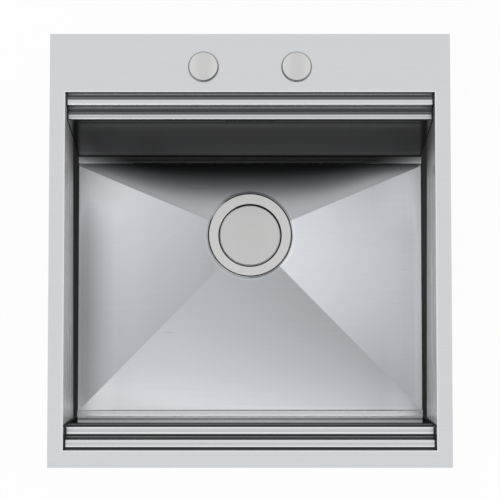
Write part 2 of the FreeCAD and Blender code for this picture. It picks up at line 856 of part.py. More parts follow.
def make_waste_cup():
    """The steel cup with its flange, a conical seat and windows in its floor."""
    cone_end = "(cup_straight + cup_cone)"
    outer = "(cup_radius + cup_sheet)"
    outer_throat = "(throat_radius + cup_sheet)"
    underside = "-(cup_floor_depth + cup_sheet)"
    hole = "(bolt_radius + fit)"
    points = [
        ("cup_radius", "0"),
        ("flange_radius", "0"),
        ("flange_radius", "-flange_sheet"),
        (outer, "-flange_sheet"),
        (outer, "-cup_straight"),
        (outer_throat, f"-{cone_end}"),
        (outer_throat, underside),
        (hole, underside),
        (hole, "-cup_floor_depth"),
        ("throat_radius", "-cup_floor_depth"),
        ("throat_radius", f"-{cone_end}"),
        ("cup_radius", "-cup_straight"),
    ]
    body, feature = turned("waste_cup", "0", WASTE_Y, RING_Z, points)
    round_rims(body, feature, "flange_edge", "flange_radius", "0")
    window = circle(body, "XY_Plane", "window_circle", "0", "window_radius", underside)
    polar(body, pocket(body, window, "cup_sheet"), "window_count")


def make_waste_gaskets():
    """The ring under the cup's flange and the ring between the bottom and the housing."""
    upper_z = f"{RING_Z} - {RECESS_DROP}"
    ring("flange_gasket", "0", WASTE_Y, upper_z, "gasket_bore", "gasket_radius", "gasket_sheet")
    lower_z = f"{RING_Z} - {HOUSING_DROP}"
    ring(
        "housing_gasket",
        "0",
        WASTE_Y,
        lower_z,
        "drain_hole_radius",
        "housing_flange_radius",
        "housing_gasket_sheet",
    )


def make_hollow_bolt():
    """The bolt that draws the cup down onto the housing and guides the lifter pin."""
    bore = "(pin_radius + pin_fit)"
    points = [
        (bore, "-bolt_length"),
        ("bolt_radius", "-bolt_length"),
        ("bolt_radius", "0"),
        ("bolt_head_radius", "0"),
        ("bolt_head_radius", "bolt_head_height"),
        (bore, "bolt_head_height"),
    ]
    turned("hollow_bolt", "0", WASTE_Y, f"{RING_Z} - cup_floor_depth", points)


def seat_radius(depth):
    """The radius of the cup's conical seat at a depth below the flange."""
    return f"(cup_radius - (cup_radius - throat_radius) * ({depth} - cup_straight) / cup_cone)"


def make_basket():
    """The strainer basket, slotted round its wall, with a socket for the cover's stem."""
    inner = "(basket_radius - basket_sheet)"
    inner_floor = "(basket_floor_radius - basket_sheet)"
    points = [
        ("0", "-socket_floor_depth"),
        ("stem_radius + stem_fit", "-socket_floor_depth"),
        ("stem_radius + stem_fit", "-socket_top_depth"),
        ("socket_radius", "-socket_top_depth"),
        ("socket_radius", "-basket_depth"),
        (inner_floor, "-basket_depth"),
        (inner, "-basket_straight"),
        (inner, "-basket_rim_depth"),
        ("basket_rim_radius", "-basket_rim_depth"),
        ("basket_rim_radius", "-(basket_rim_depth + basket_sheet)"),
        ("basket_radius", "-(basket_rim_depth + basket_sheet)"),
        ("basket_radius", "-basket_straight"),
        ("basket_floor_radius", f"-{STOPPER_TOP}"),
        ("basket_boss_radius", f"-{STOPPER_TOP}"),
        ("basket_boss_radius", f"-{STOPPER_BOTTOM}"),
        ("0", f"-{STOPPER_BOTTOM}"),
    ]
    body = turned("strainer_basket", "0", WASTE_Y, RING_Z, points)[0]
    high = "-(basket_rim_depth + basket_sheet + basket_sheet)"
    slot = rectangle("-slot_width / 2", "slot_width / 2", f"{high} - slot_height", high)
    start = "basket_radius - basket_sheet - overrun"
    opening = polygon(body, "XZ_Plane", slot, start)
    polar(body, pocket(body, opening, "basket_sheet + 2 * overrun"), "slot_count")


def make_stopper():
    """The rubber cone under the basket that closes on the cup's seat."""
    points = [
        ("basket_boss_radius + fit", f"-{STOPPER_BOTTOM}"),
        (f"{seat_radius(STOPPER_BOTTOM)} - stopper_gap", f"-{STOPPER_BOTTOM}"),
        (f"{seat_radius(STOPPER_TOP)} - stopper_gap", f"-{STOPPER_TOP}"),
        ("basket_boss_radius + fit", f"-{STOPPER_TOP}"),
    ]
    turned("stopper", "0", WASTE_Y, RING_Z, points)


def make_drain_cover():
    """The flat disc that hides the basket, with a stem that stands in the basket's socket."""
    points = [
        ("0", "-(socket_floor_depth - running_gap)"),
        ("stem_radius", "-(socket_floor_depth - running_gap)"),
        ("stem_radius", "-cover_sheet"),
        ("cover_radius", "-cover_sheet"),
        ("cover_radius", "0"),
        ("0", "0"),
    ]
    body, feature = turned("drain_cover", "0", WASTE_Y, RING_Z, points)
    round_rims(body, feature, "cover_edge", "cover_radius", "0")


def make_housing():
    """The plastic housing: chamber, bolt boss on ribs, outlet, overflow inlet and crank bracket."""
    chamber_end = "(housing_depth - housing_cone)"
    outlet_end = "(housing_depth + outlet_length)"
    flange_end = f"({HOUSING_DROP} + housing_flange_sheet)"
    points = [
        ("housing_bore", f"-{HOUSING_DROP}"),
        ("housing_flange_radius", f"-{HOUSING_DROP}"),
        ("housing_flange_radius", f"-{flange_end}"),
        ("housing_radius", f"-{flange_end}"),
        ("housing_radius", f"-{chamber_end}"),
        ("outlet_radius", "-housing_depth"),
        ("outlet_radius", f"-{outlet_end}"),
        ("outlet_bore", f"-{outlet_end}"),
        ("outlet_bore", "-housing_depth"),
        ("housing_bore", f"-{chamber_end}"),
    ]
    shell = DOC.addObject("PartDesign::Body", "Body")
    revolve(shell, polygon(shell, "XZ_Plane", points))
    place(shell, "0", WASTE_Y, RING_Z)

    boss_top = f"({RING_Z} - cup_floor_depth - cup_sheet)"
    boss_low = f"({boss_top} - bolt_boss_length)"
    boss = rod("Z", "0", WASTE_Y, boss_low, "bolt_boss_radius", "bolt_boss_length")
    boss_bore = rod("Z", "0", WASTE_Y, boss_low, "bolt_radius + fit", "bolt_boss_length")
    ribs = []
    for index in range(SIZES["rib_count"]):
        turn = 90 + 360 / SIZES["rib_count"] * index
        rib = block("0", "0", "0", "(housing_bore + housing_radius) / 2", "rib_sheet", "rib_height")
        rib.Placement = FreeCAD.Placement(FreeCAD.Vector(), FreeCAD.Rotation(turn, 0, 0))
        rib_x = f"rib_sheet / 2 * sin({turn} deg)"
        rib_y = f"{WASTE_Y} - rib_sheet / 2 * cos({turn} deg)"
        place(rib, rib_x, rib_y, boss_low)
        ribs.append(rib)

    inlet_start = f"({WASTE_Y} + housing_bore)"
    inlet_length = f"{INLET_END} - {inlet_start}"
    inlet = rod("Y", "0", inlet_start, INLET_Z, "spigot_radius", inlet_length)
    bore_start = f"({inlet_start} - spigot_bore)"
    inlet_bore = rod("Y", "0", bore_start, INLET_Z, "spigot_bore", f"{INLET_END} - {bore_start}")

    back = f"({BRACKET_X} - bracket_sheet)"
    plate_y = f"{SHAFT_Y} - bracket_front"
    plate_z = f"{SHAFT_Z} - bracket_low"
    plate_width = "bracket_front + bracket_rear"
    plate = block(back, plate_y, plate_z, "bracket_sheet", plate_width, "bracket_low + bracket_high")
    core_x = f"({BRACKET_X} - bracket_core)"
    low = f"({RING_Z} - {chamber_end})"
    core = block(core_x, plate_y, low, "bracket_core", "2 * bracket_front", f"{CRANK_Z} - {low}")
    chamber = rod("Z", "0", WASTE_Y, low, "housing_bore", f"{chamber_end} - {HOUSING_DROP}")
    bracket = cut(fused([plate, core]), chamber)
    shaft_bore = rod("X", core_x, SHAFT_Y, SHAFT_Z, "shaft_radius + shaft_fit", "bracket_core")
    ring_start = f"{BRACKET_X} - shaft_ring_width"
    ring_seat = rod("X", ring_start, SHAFT_Y, SHAFT_Z, "shaft_ring_radius", "shaft_ring_width")
    screw_holes = []
    for z in cover_screw_heights():
        screw_holes.append(rod("X", back, SHAFT_Y, z, "cover_screw_radius + fit", "bracket_sheet"))
    whole = fused([shell, boss, inlet, bracket] + ribs)
    bores = [boss_bore, inlet_bore, shaft_bore, ring_seat]
    labelled(cut(whole, *bores, *screw_holes), "waste_housing")


def cover_screw_heights():
    """The heights of the two screws that hold the crank's cover."""
    return [
        f"({SHAFT_Z} - bracket_low + cover_screw_edge)",
        f"({SHAFT_Z} + bracket_high - cover_screw_edge)",
    ]


def make_shaft_ring():
    """The rubber ring that keeps the shaft's hole tight."""
    start = f"{BRACKET_X} - shaft_ring_width"
    radii = ("shaft_ring_radius - fit", "shaft_radius + fit")
    outer, inner = [rod("X", start, SHAFT_Y, SHAFT_Z, radius, "shaft_ring_width") for radius in radii]
    labelled(cut(outer, inner), "shaft_ring")


def make_lifter_shaft():
    """The shaft that enters the housing, with the finger that pushes the pin up."""
    start = "(-finger_width / 2)"
    end = f"({TAP_X} - crank_width / 2)"
    shaft = rod("X", start, SHAFT_Y, SHAFT_Z, "shaft_radius", f"{end} - {start}")
    finger_z = f"{SHAFT_Z} - finger_sheet / 2"
    finger = block(start, WASTE_Y, finger_z, "finger_width", "shaft_arm", "finger_sheet")
    tip = rod("X", start, WASTE_Y, SHAFT_Z, "finger_tip_radius", "finger_width")
    labelled(fused([shaft, finger, tip]), "lifter_shaft")


def make_crank():
    """The arm on the shaft's outer end that the cable pulls."""
    start = f"({TAP_X} - crank_width / 2)"
    hub = rod("X", start, SHAFT_Y, SHAFT_Z, "crank_hub_radius", "crank_width")
    tip = rod("X", start, SHAFT_Y, CRANK_Z, "crank_tip_radius", "crank_width")
    arm_y = f"{SHAFT_Y} - crank_tip_radius"
    arm = block(start, arm_y, SHAFT_Z, "crank_width", "2 * crank_tip_radius", "shaft_arm")
    labelled(fused([hub, tip, arm]), "shaft_crank")


def make_crank_cover():
    """The box over the crank, with the gland where the cable's sleeve ends, and its screws."""
    wall = "crank_box_wall"
    front = f"({SHAFT_Y} - bracket_front)"
    width = "(bracket_front + bracket_rear)"
    depth = "(crank_width + 2 * crank_gap)"
    flange = block(BRACKET_X, front, f"{SHAFT_Z} - bracket_low", wall, width, "bracket_low + bracket_high")
    low = f"({SHAFT_Z} - crank_box_low)"
    height = "(crank_box_low + crank_box_high)"
    box = block(BRACKET_X, front, low, f"{depth} + {wall}", width, height)
    gland_y = f"({SHAFT_Y} + bracket_rear)"
    gland = rod("Y", TAP_X, gland_y, CRANK_Z, "cable_gland_radius", "cable_gland_length")
    hollow = block(
        BRACKET_X,
        f"{front} + {wall}",
        f"{low} + {wall}",
        depth,
        f"{width} - 2 * {wall}",
        f"{height} - 2 * {wall}",
    )
    hole_y = f"{gland_y} - 2 * {wall}"
    hole_length = f"cable_gland_length + 2 * {wall}"
    wire_hole = rod("Y", TAP_X, hole_y, CRANK_Z, "cable_wire_radius", hole_length)
    grip_y = f"{gland_y} + cable_gland_length - cable_grip"
    grip = rod("Y", TAP_X, grip_y, CRANK_Z, "cable_radius + fit", "cable_grip")
    holes = []
    screws = []
    for z in cover_screw_heights():
        holes.append(rod("X", BRACKET_X, SHAFT_Y, z, "cover_screw_radius + fit", wall))
        start = f"{BRACKET_X} + {wall} - cover_screw_length"
        shank = rod("X", start, SHAFT_Y, z, "cover_screw_radius", "cover_screw_length")
        head_x = f"{BRACKET_X} + {wall}"
        head = rod("X", head_x, SHAFT_Y, z, "cover_screw_head_radius", "cover_screw_head_height")
        screws.append(fused([shank, head]))
    whole = fused([flange, box, gland])
    labelled(cut(whole, hollow, wire_hole, grip, *holes), "crank_cover")
    labelled(group(screws), "crank_cover_screws")


def make_lifter_pin():
    """The pin that slides in the hollow bolt and pushes the basket up."""
    top = f"({RING_Z} - {STOPPER_BOTTOM} - running_gap)"
    low = f"({SHAFT_Z} + finger_tip_radius + running_gap)"
    labelled(rod("Z", "0", WASTE_Y, low, "pin_radius", f"{top} - {low}"), "lifter_pin")


# Overflow


def wall_back(drop):
    """The Y of the rear wall's back face, so far below the lower step."""
    slope = f"(wall_lean / ({LOWER_Z} - {LEDGE_Z}))"
    return f"({REAR} - {LOWER_IN} + sheet - {slope} * ({drop} - sheet))"


def make_overflow_chamber():
    """The welded steel box behind the overflow slot, with a spigot for the hose."""
    body = new_body("overflow_chamber")
    rear = f"({REAR} - {LOWER_IN} + chamber_rear)"
    low_drop = "(chamber_drop + chamber_height)"
    outside = [
        (wall_back("chamber_drop"), CHAMBER_TOP),
        (rear, CHAMBER_TOP),
        (rear, CHAMBER_BOTTOM),
        (wall_back(low_drop), CHAMBER_BOTTOM),
    ]
    start = "-chamber_width / 2"
    pad(body, polygon(body, "YZ_Plane", outside, start), "chamber_width")
    spigot_z = f"{CHAMBER_BOTTOM} - spigot_length"
    pad(body, circle(body, "XY_Plane", "0", SPIGOT_Y, "spigot_radius", spigot_z), "spigot_length")
    inside = [
        (f"{wall_back('chamber_drop')} - overrun", f"{CHAMBER_TOP} - sheet"),
        (f"{rear} - sheet", f"{CHAMBER_TOP} - sheet"),
        (f"{rear} - sheet", f"{CHAMBER_BOTTOM} + sheet"),
        (f"{wall_back(low_drop)} - overrun", f"{CHAMBER_BOTTOM} + sheet"),
    ]
    hollow = polygon(body, "YZ_Plane", inside, f"{start} + sheet")
    pocket(body, hollow, "chamber_width - 2 * sheet")
    bore = circle(body, "XY_Plane", "0", SPIGOT_Y, "spigot_bore", spigot_z)
    pocket(body, bore, "spigot_length + 2 * sheet")


def cut_overflow_slot(body):
    """The slot in the rear wall, close under the lower step."""
    high = f"({LOWER_Z} - overflow_drop)"
    slot = rectangle("-overflow_width / 2", "overflow_width / 2", f"{high} - overflow_height", high)
    start = f"-({REAR} - {LOWER_IN} + sheet + overrun)"
    opening = polygon(body, "XZ_Plane", slot, start)
    pocket(body, opening, "sheet + wall_lean + 2 * overrun")


def hose_solid(radius):
    """A solid along the hose's run: down behind the bowl, one bend, and forward to the housing."""
    bend_z = f"({INLET_Z} + hose_bend)"
    bend_y = f"({SPIGOT_Y} - hose_bend)"
    top = f"({CHAMBER_BOTTOM} - spigot_length + hose_grip)"
    front = f"({INLET_END} - hose_grip)"
    down = rod("Z", "0", SPIGOT_Y, bend_z, radius, f"{top} - {bend_z}")
    bend = quarter_bend("0", bend_y, bend_z, "hose_bend", radius)
    along = rod("Y", "0", front, INLET_Z, radius, f"{bend_y} - {front}")
    return fused([down, bend, along])


def make_hose():
    """The overflow hose and the two clips that hold its ends."""
    labelled(cut(hose_solid("hose_radius"), hose_solid("hose_bore")), "overflow_hose")
    outer = "hose_radius + hose_clip_sheet"
    inner = "hose_radius + fit"
    upper_z = f"{CHAMBER_BOTTOM} - spigot_length + hose_grip - hose_clip_inset - hose_clip_width"
    lower_y = f"{INLET_END} - hose_grip + hose_clip_inset"
    upper = [rod("Z", "0", SPIGOT_Y, upper_z, radius, "hose_clip_width") for radius in (outer, inner)]
    lower = [rod("Y", "0", lower_y, INLET_Z, radius, "hose_clip_width") for radius in (outer, inner)]
    labelled(group([cut(*upper), cut(*lower)]), "hose_clips")


def make_all():
    """Build every sub-part."""
    make_deck()
    make_rim_seal()
    cut_overflow_slot(make_stepped_wall("rear_wall", "", REAR))
    make_stepped_wall("front_wall", "-", FRONT)
    make_side_wall("left_wall", f"-{SIDE} - sheet")
    make_side_wall("right_wall", SIDE)
    make_bottom()
    make_sound_pads()
    make_clamps()
    make_tap_cover()
    make_knob()
    make_knob_housing()
    make_slider()
    make_cable()
    make_waste_cup()
    make_waste_gaskets()
    make_hollow_bolt()
    make_basket()
    make_stopper()
    make_drain_cover()
    make_housing()
    make_shaft_ring()
    make_lifter_shaft()
    make_crank()
    make_crank_cover()
    make_lifter_pin()
    make_overflow_chamber()
    make_hose()


def check_document():
    """Stop if any object failed or any sub-part has no sound shape."""
    DOC.recompute()
    for thing in DOC.Objects:
        if "Invalid" in thing.State or "Error" in thing.State:
            raise RuntimeError(f"{thing.Name} ({thing.Label}) failed: {thing.State}")
    for part in PARTS:
        if part.Shape.isNull() or not part.Shape.isValid():
            raise RuntimeError(f"{part.Label} has no sound shape")


def write_parts():
    """Write one STEP file for each sub-part."""
    os.makedirs("parts", exist_ok=True)
    for part in PARTS:
        shape = part.Shape
        shape.exportStep(f"parts/{part.Label}.step")
        box = shape.BoundBox
        print(
            f"{part.Label:20s} solids {len(shape.Solids)} volume {shape.Volume:10.1f}"
            f" x {box.XMin:7.1f} {box.XMax:7.1f} y {box.YMin:7.1f} {box.YMax:7.1f}"
            f" z {box.ZMin:7.1f} {box.ZMax:7.1f}"
        )


fill_sheet()
make_all()
check_document()
write_parts()
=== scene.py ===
# %% [markdown]
# # A kitchen sink, dressed for its picture
# The sink is an inset one: a flat steel rim, a square bowl with two steps along its front and its
# rear, a creased bottom that falls to the waste, and everything that hangs below it. Its solids
# come ready made, so this lesson is about finishes: what steel, rubber and plastic look like here,
# and how a few lines of maths on a surface's own coordinates give that look.

import math

import bpy
import numpy as np
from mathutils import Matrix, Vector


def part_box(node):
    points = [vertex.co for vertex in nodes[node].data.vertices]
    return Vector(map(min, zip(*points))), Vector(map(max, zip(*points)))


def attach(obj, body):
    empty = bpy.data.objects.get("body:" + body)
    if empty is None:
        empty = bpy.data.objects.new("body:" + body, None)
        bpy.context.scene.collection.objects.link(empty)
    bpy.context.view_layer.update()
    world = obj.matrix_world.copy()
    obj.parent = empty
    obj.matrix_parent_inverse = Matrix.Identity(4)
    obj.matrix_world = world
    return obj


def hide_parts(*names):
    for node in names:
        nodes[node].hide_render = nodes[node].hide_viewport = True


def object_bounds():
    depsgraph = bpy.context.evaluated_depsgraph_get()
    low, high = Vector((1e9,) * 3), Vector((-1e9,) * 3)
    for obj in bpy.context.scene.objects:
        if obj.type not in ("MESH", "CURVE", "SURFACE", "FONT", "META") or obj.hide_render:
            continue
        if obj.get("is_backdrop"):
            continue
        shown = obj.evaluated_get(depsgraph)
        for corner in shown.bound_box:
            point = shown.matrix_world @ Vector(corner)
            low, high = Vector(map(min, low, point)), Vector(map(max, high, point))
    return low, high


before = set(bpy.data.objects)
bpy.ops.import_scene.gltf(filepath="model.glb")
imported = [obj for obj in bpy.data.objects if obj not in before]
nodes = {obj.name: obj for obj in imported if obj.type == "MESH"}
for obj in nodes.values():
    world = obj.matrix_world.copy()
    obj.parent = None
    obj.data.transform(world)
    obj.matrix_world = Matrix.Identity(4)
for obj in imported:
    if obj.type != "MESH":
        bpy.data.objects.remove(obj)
cad_low, cad_high = (list(corner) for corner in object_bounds())
print(len(nodes), "nodes from", [round(v, 4) for v in cad_low], "to", [round(v, 4) for v in cad_high])

# %% [markdown]
# ## Places on the sink
# A finish that changes over a surface has to know where it is. These are the few places that the
# finishes below need: the edges of the opening and of the bottom, and the middles of the waste
# and of the two discs. They are measured from the solids, so that the paint follows them.

# %% Name the places
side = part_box("front_wall")[1].x
front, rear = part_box("left_rim")[0].y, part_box("left_rim")[1].y
pan_rear, pan_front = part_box("rear_wall")[0].y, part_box("front_wall")[1].y
cover_low, cover_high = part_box("drain_cover")
waste_y = (cover_low.y + cover_high.y) / 2
disc_low, disc_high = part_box("control_knob")
disc_x, disc_y = (disc_low.x + disc_high.x) / 2, (disc_low.y + disc_high.y) / 2
print("opening", round(2 * side, 4), "by", round(rear - front, 4), "waste at y", round(waste_y, 4))

# %% [markdown]
# ## The camera
# The picture was taken from high above the front of the sink with a long lens, almost straight
# down. The rim's sides look nearly parallel, which a lens gives that is moved up instead of
# tilted, and the camera's vertical shift does the same.

# %% Place the camera
scene = bpy.context.scene
camera_data = bpy.data.cameras.new("camera")
camera_data.lens = 136.52
camera_data.sensor_width = 36.0
camera_data.shift_y = 0.2
camera_data.clip_end = 20.0
camera = bpy.data.objects.new("camera", camera_data)
camera.location = (0.0, -0.274, 2.2484)
camera.rotation_euler = (math.radians(3.914), 0.0, 0.0)
scene.collection.objects.link(camera)
scene.camera = camera
print("camera", round(camera.location.z, 3), "m up")

# %% [markdown]
# ## Writing a finish as sums
# A finish is a net of small nodes, which is hard to read when it is wired by hand. A small class
# that stands for one socket makes it easier: adding or multiplying two of them puts in the Math
# node that does it, so a finish reads like a formula.

# %% A reading: one value on a surface
class Reading:
    """One value that changes over a surface. Sums with it add Math nodes to its finish."""

    def __init__(self, finish, socket):
        self.finish = finish
        self.socket = socket

    def maths(self, operation, *values):
        return self.finish.node("ShaderNodeMath", {"operation": operation}, *values)

    def __add__(self, other):
        return self.maths("ADD", self, other)

    def __sub__(self, other):
        return self.maths("SUBTRACT", self, other)

    def __rsub__(self, other):
        return self.maths("SUBTRACT", other, self)

    def __mul__(self, other):
        return self.maths("MULTIPLY", self, other)

    def __truediv__(self, other):
        return self.maths("DIVIDE", self, other)

    def __pow__(self, other):
        return self.maths("POWER", self, other)

    def __gt__(self, other):
        return self.maths("GREATER_THAN", self, other)

    def __lt__(self, other):
        return self.maths("LESS_THAN", self, other)

    def __abs__(self):
        return self.maths("ABSOLUTE", self)

    __radd__ = __add__
    __rmul__ = __mul__

    def most(self, other):
        return self.maths("MAXIMUM", self, other)

    def least(self, other):
        return self.maths("MINIMUM", self, other)

    def sine(self):
        return self.maths("SINE", self)

    def rising(self, start, end):
        """0 up to start, 1 from end on, and straight between them."""
        return self.finish.node("ShaderNodeMapRange", {"clamp": True}, self, start, end, 0.0, 1.0)

    def between(self, here, there):
        """here where this reading is 0, there where it is 1: here + reading x (there - here)."""
        return here + self * (there - here)


print("a reading knows", ", ".join(name for name in vars(Reading) if not name.startswith("_")))


# %% A display level as light
def light(level):
    """The light that shows as a display level: ((level / 255 + 0.055) / 1.055) to the power 2.4.

    This is the screen's own curve for levels over 10. The level is a number or a reading."""
    return ((level / 255.0 + 0.055) / 1.055) ** 2.4


print("level 208 is", round(light(208), 3), "of full light")


# %% A finish: one material and its nodes
class Finish:
    """A material whose look is written as sums of readings."""

    def __init__(self, name, roughness=0.5, metallic=0.0):
        self.material = bpy.data.materials.new(name)
        self.material.use_nodes = True
        self.tree = self.material.node_tree
        self.shader = self.tree.nodes["Principled BSDF"]
        self.shader.inputs["Roughness"].default_value = roughness
        self.shader.inputs["Metallic"].default_value = metallic
        coordinates = self.tree.nodes.new("ShaderNodeTexCoord")
        self.place = Reading(self, coordinates.outputs["Object"])
        self.x, self.y, self.z = self.parts(self.place)
        normal = Reading(self, coordinates.outputs["Normal"])
        self.facing_x, self.facing_y, self.facing_z = self.parts(normal)

    def node(self, kind, settings, *values, output=0):
        """A node of any kind: its settings first, then its open sockets in order."""
        made = self.tree.nodes.new(kind)
        for name, setting in settings.items():
            if name == "stops":
                self.set_stops(made, setting)
            else:
                setattr(made, name, setting)
        sockets = [socket for socket in made.inputs if socket.enabled]
        for socket, setting in zip(sockets, values):
            self.feed(socket, setting)
        results = [socket for socket in made.outputs if socket.enabled]
        return Reading(self, results[output])

    def set_stops(self, ramp_node, stops):
        """The stops of a ramp, each a place from 0 to 1 and a grey."""
        ramp = ramp_node.color_ramp
        while len(ramp.elements) < len(stops):
            ramp.elements.new(0.5)
        for element, (place, grey) in zip(ramp.elements, stops):
            element.position = place
            element.color = (grey, grey, grey, 1.0)

    def feed(self, socket, setting):
        if isinstance(setting, Reading):
            self.tree.links.new(setting.socket, socket)
        elif setting is not None:
            socket.default_value = setting

    def parts(self, vector):
        """The three parts of a vector."""
        return [self.node("ShaderNodeSeparateXYZ", {}, vector, output=index) for index in range(3)]

    def noise(self, scale, detail=2.0, stretch=(1.0, 1.0, 1.0)):
        """Soft noise from 0 to 1, pulled out along each axis by its stretch."""
        size = tuple(1.0 / length for length in stretch)
        origin = (0.0, 0.0, 0.0)
        point = {"vector_type": "POINT"}
        at = self.node("ShaderNodeMapping", point, self.place, origin, origin, size)
        return self.node("ShaderNodeTexNoise", {}, at, scale, detail)

    def through(self, reading, stops, grey):
        """A line through stops of (reading, number), straight between them: grey(number) at each."""
        start, end = stops[0][0], stops[-1][0]
        spots = [((at - start) / (end - start), grey(number)) for at, number in stops]
        across = reading.rising(start, end)
        return self.node("ShaderNodeValToRGB", {"stops": spots}, across)

    def bands(self, reading, stops):
        """The light of the display level that the reading has on a line through the stops."""
        return self.through(reading, stops, light)

    def graph(self, reading, stops):
        """The number from 0 to 255 that the reading has on a line through the stops."""
        return self.through(reading, stops, lambda number: number / 255.0) * 255.0

    def paint(self, brightness, tint=(1.0, 1.0, 1.0)):
        """The base colour: one tint times a brightness, at most 0.98, that may change."""
        share = brightness.least(0.98)
        colour = self.node("ShaderNodeVectorMath", {"operation": "SCALE"}, tint, share)
        self.feed(self.shader.inputs["Base Color"], colour)

    def relief(self, height, depth):
        """Bumps that rise by the height, from 0 to 1, times a real depth in metres."""
        bump = self.node("ShaderNodeBump", {}, 1.0, depth, None, height)
        self.feed(self.shader.inputs["Normal"], bump)

    def rough(self, roughness):
        self.feed(self.shader.inputs["Roughness"], roughness)

    def metal(self, metallic):
        self.feed(self.shader.inputs["Metallic"], metallic)

    def tell(self):
        print(self.material.name, "has", len(self.tree.nodes), "nodes")


print("a finish takes", ", ".join(name for name in vars(Finish) if not name.startswith("_")))


# %% [markdown]
# ## Surfaces from sums
# The pieces that the solids leave plain, such as threads and a corrugated hose, are surfaces over
# a grid: a formula gives the point at each row and column, for the whole grid at once, and the
# faces join each point to its neighbours.

# %% A grid of points becomes a mesh
def grid_faces(rows, columns, round_rows, start):
    """The four corners of every face: point (r, c), (r, c + 1), (r + 1, c + 1) and (r + 1, c).

    Point (r, c) has the number start + r x columns + c. The last column is joined to the first,
    and the last row too if the rows go round."""
    row = np.arange(rows if round_rows else rows - 1)[:, None]
    column = np.arange(columns)[None, :]
    next_row, next_column = (row + 1) % rows, (column + 1) % columns
    corners = [row * columns + column, row * columns + next_column]
    corners += [next_row * columns + next_column, next_row * columns + column]
    return start + np.stack(corners, -1).reshape(-1, 4)


def piece_from_grids(name, grids, finish, body, round_rows=False):
    """One object from grids of points (rows, columns, 3). Rows that don't go round are capped."""
    points, faces, caps, start = [], [], [], 0
    for grid in grids:
        rows, columns, _ = grid.shape
        points.append(grid.reshape(-1, 3))
        faces.append(grid_faces(rows, columns, round_rows, start))
        if not round_rows:
            caps.append(list(range(start + columns - 1, start - 1, -1)))
            caps.append(list(range(start + (rows - 1) * columns, start + rows * columns)))
        start += rows * columns
    mesh = bpy.data.meshes.new(name)
    mesh.from_pydata(np.concatenate(points).tolist(), [], np.concatenate(faces).tolist() + caps)
    mesh.materials.append(finish.material)
    mesh.polygons.foreach_set("use_smooth", np.full(len(mesh.polygons), True))
    made = bpy.data.objects.new(name, mesh)
    scene.collection.objects.link(made)
    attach(made, body)
    print(name, len(mesh.polygons), "faces")
    return made


print("a grid of 3 by 4 points has", len(grid_faces(3, 4, False, 0)), "faces")

# %% [markdown]
# ## Brushed steel
# Sheet steel is brushed in one direction, which leaves very long, very thin scratches. They are
# noise stretched sixty times along the brushing. The scratches change the brightness a little,
# the roughness a little more, and raise the surface by a few thousandths of a millimetre. The
# steel itself is a metal with a slightly cool grey, a little cooler on the bowl's bottom. What
# nobody sees of a sheet, behind the bowl, keeps the plain mill finish.

# %% The greys and the grain
STEEL = (0.989, 1.0, 1.02)
PAN_STEEL = (0.967, 1.0, 1.047)
NEUTRAL_STEEL = (1.0, 1.0, 0.995)
MILL_FINISH = light(168)


def brush(finish, along=(60.0, 1.0, 1.0), rough=0.3):
    """Scratches along one axis: 0.6 x fine noise + 0.4 x coarse noise, both stretched.

    Returns them, and sets the roughness, 0.05 to either side of rough, and the relief."""
    grain = finish.noise(1400.0, 1.0, along) * 0.6 + finish.noise(260.0, 2.0, along) * 0.4
    finish.rough(grain.rising(0.25, 0.75).between(rough - 0.05, rough + 0.05))
    finish.relief(grain, 0.000004)
    return grain


def paint_sheet(finish, bright, grain, seen, tint):
    """Mill finish where seen is 0, and brightness x (0.94 + 0.12 x grain) where it is 1."""
    finish.paint(seen.between(MILL_FINISH, bright * (0.94 + grain * 0.12)), tint)
    finish.shader.inputs["Specular IOR Level"].default_value = 0.0
    finish.tell()


print("mill finish is", round(MILL_FINISH, 3), "of full light")

# %% [markdown]
# ## The rim
# The flat rim is one even satin grey. Where it turns down into the bowl the bend catches the
# light, which is painted as a thin bright highlight all round the opening. The distance from the
# opening is the greater of how far a point is past its sides and how far past its ends.

# %% Rim finish
rim_steel = Finish("rim_steel", metallic=1.0)
grain = brush(rim_steel)
past_side = abs(rim_steel.x) - side
past_end = abs(rim_steel.y - (rear + front) / 2) - (rear - front) / 2
# Painted highlight: a thin bright line along the opening, where the bend catches the light
painted_edge_highlight = 1.0 - past_side.most(past_end).rising(0.0009, 0.0021)
cloud = rim_steel.noise(5.0)
rim_steel.paint(light(208) * (0.97 + grain * 0.05 + cloud * 0.01) + painted_edge_highlight * 0.1, STEEL)
rim_steel.tell()

# %% [markdown]
# ## The stepped walls
# The front and the rear wall are each one sheet, folded down, in, down, in, then down the long
# leaning wall to a low ledge. What the polished folds mirror is painted there: bright bands of
# painted reflection on the treads, dark bands of painted shade under each edge. Going down such a
# sheet, the distance in from the opening plus the distance down grows without a break, so that one
# number is a place on the fold, and bands over it paint both. One list of bands covers the steps
# and one the rest.

# %% Folded sheet: bands along the fold
STEPS_END = 0.0498
LEDGE_START = 0.2288
PAINTED_GAP_SHADE = light(58)


def folded_steel(name, edge, way_in, steps, wall):
    """Steel for a stepped wall whose fold is way_in x (y - edge) - z, way_in being 1 or -1.

    Returns the finish, its grain, the fold, the bands over it, and whether a point is on the
    seen side, where facing up plus facing way_in is more than 0."""
    finish = Finish(name, metallic=1.0)
    grain = brush(finish, rough=0.26)
    fold = (finish.y - edge) * way_in - finish.z
    # The bands paint light and shade: painted reflections on the treads and painted shade under each edge
    bright = (fold > STEPS_END).between(finish.bands(fold, steps), finish.bands(fold, wall))
    seen = finish.facing_z + finish.facing_y * way_in > 0.0
    return finish, grain, fold, bright, seen


def end_gap_shade(finish, bright, fold):
    """Painted shade in the gap where the treads end against the side walls, 1.4 to 2.6 mm from them."""
    line = (abs(finish.x) - side).rising(-0.0026, -0.0014) * (fold < STEPS_END)
    return line.between(bright, PAINTED_GAP_SHADE)


print("the steps end at", STEPS_END, "and the ledge starts at", LEDGE_START, "along the fold")
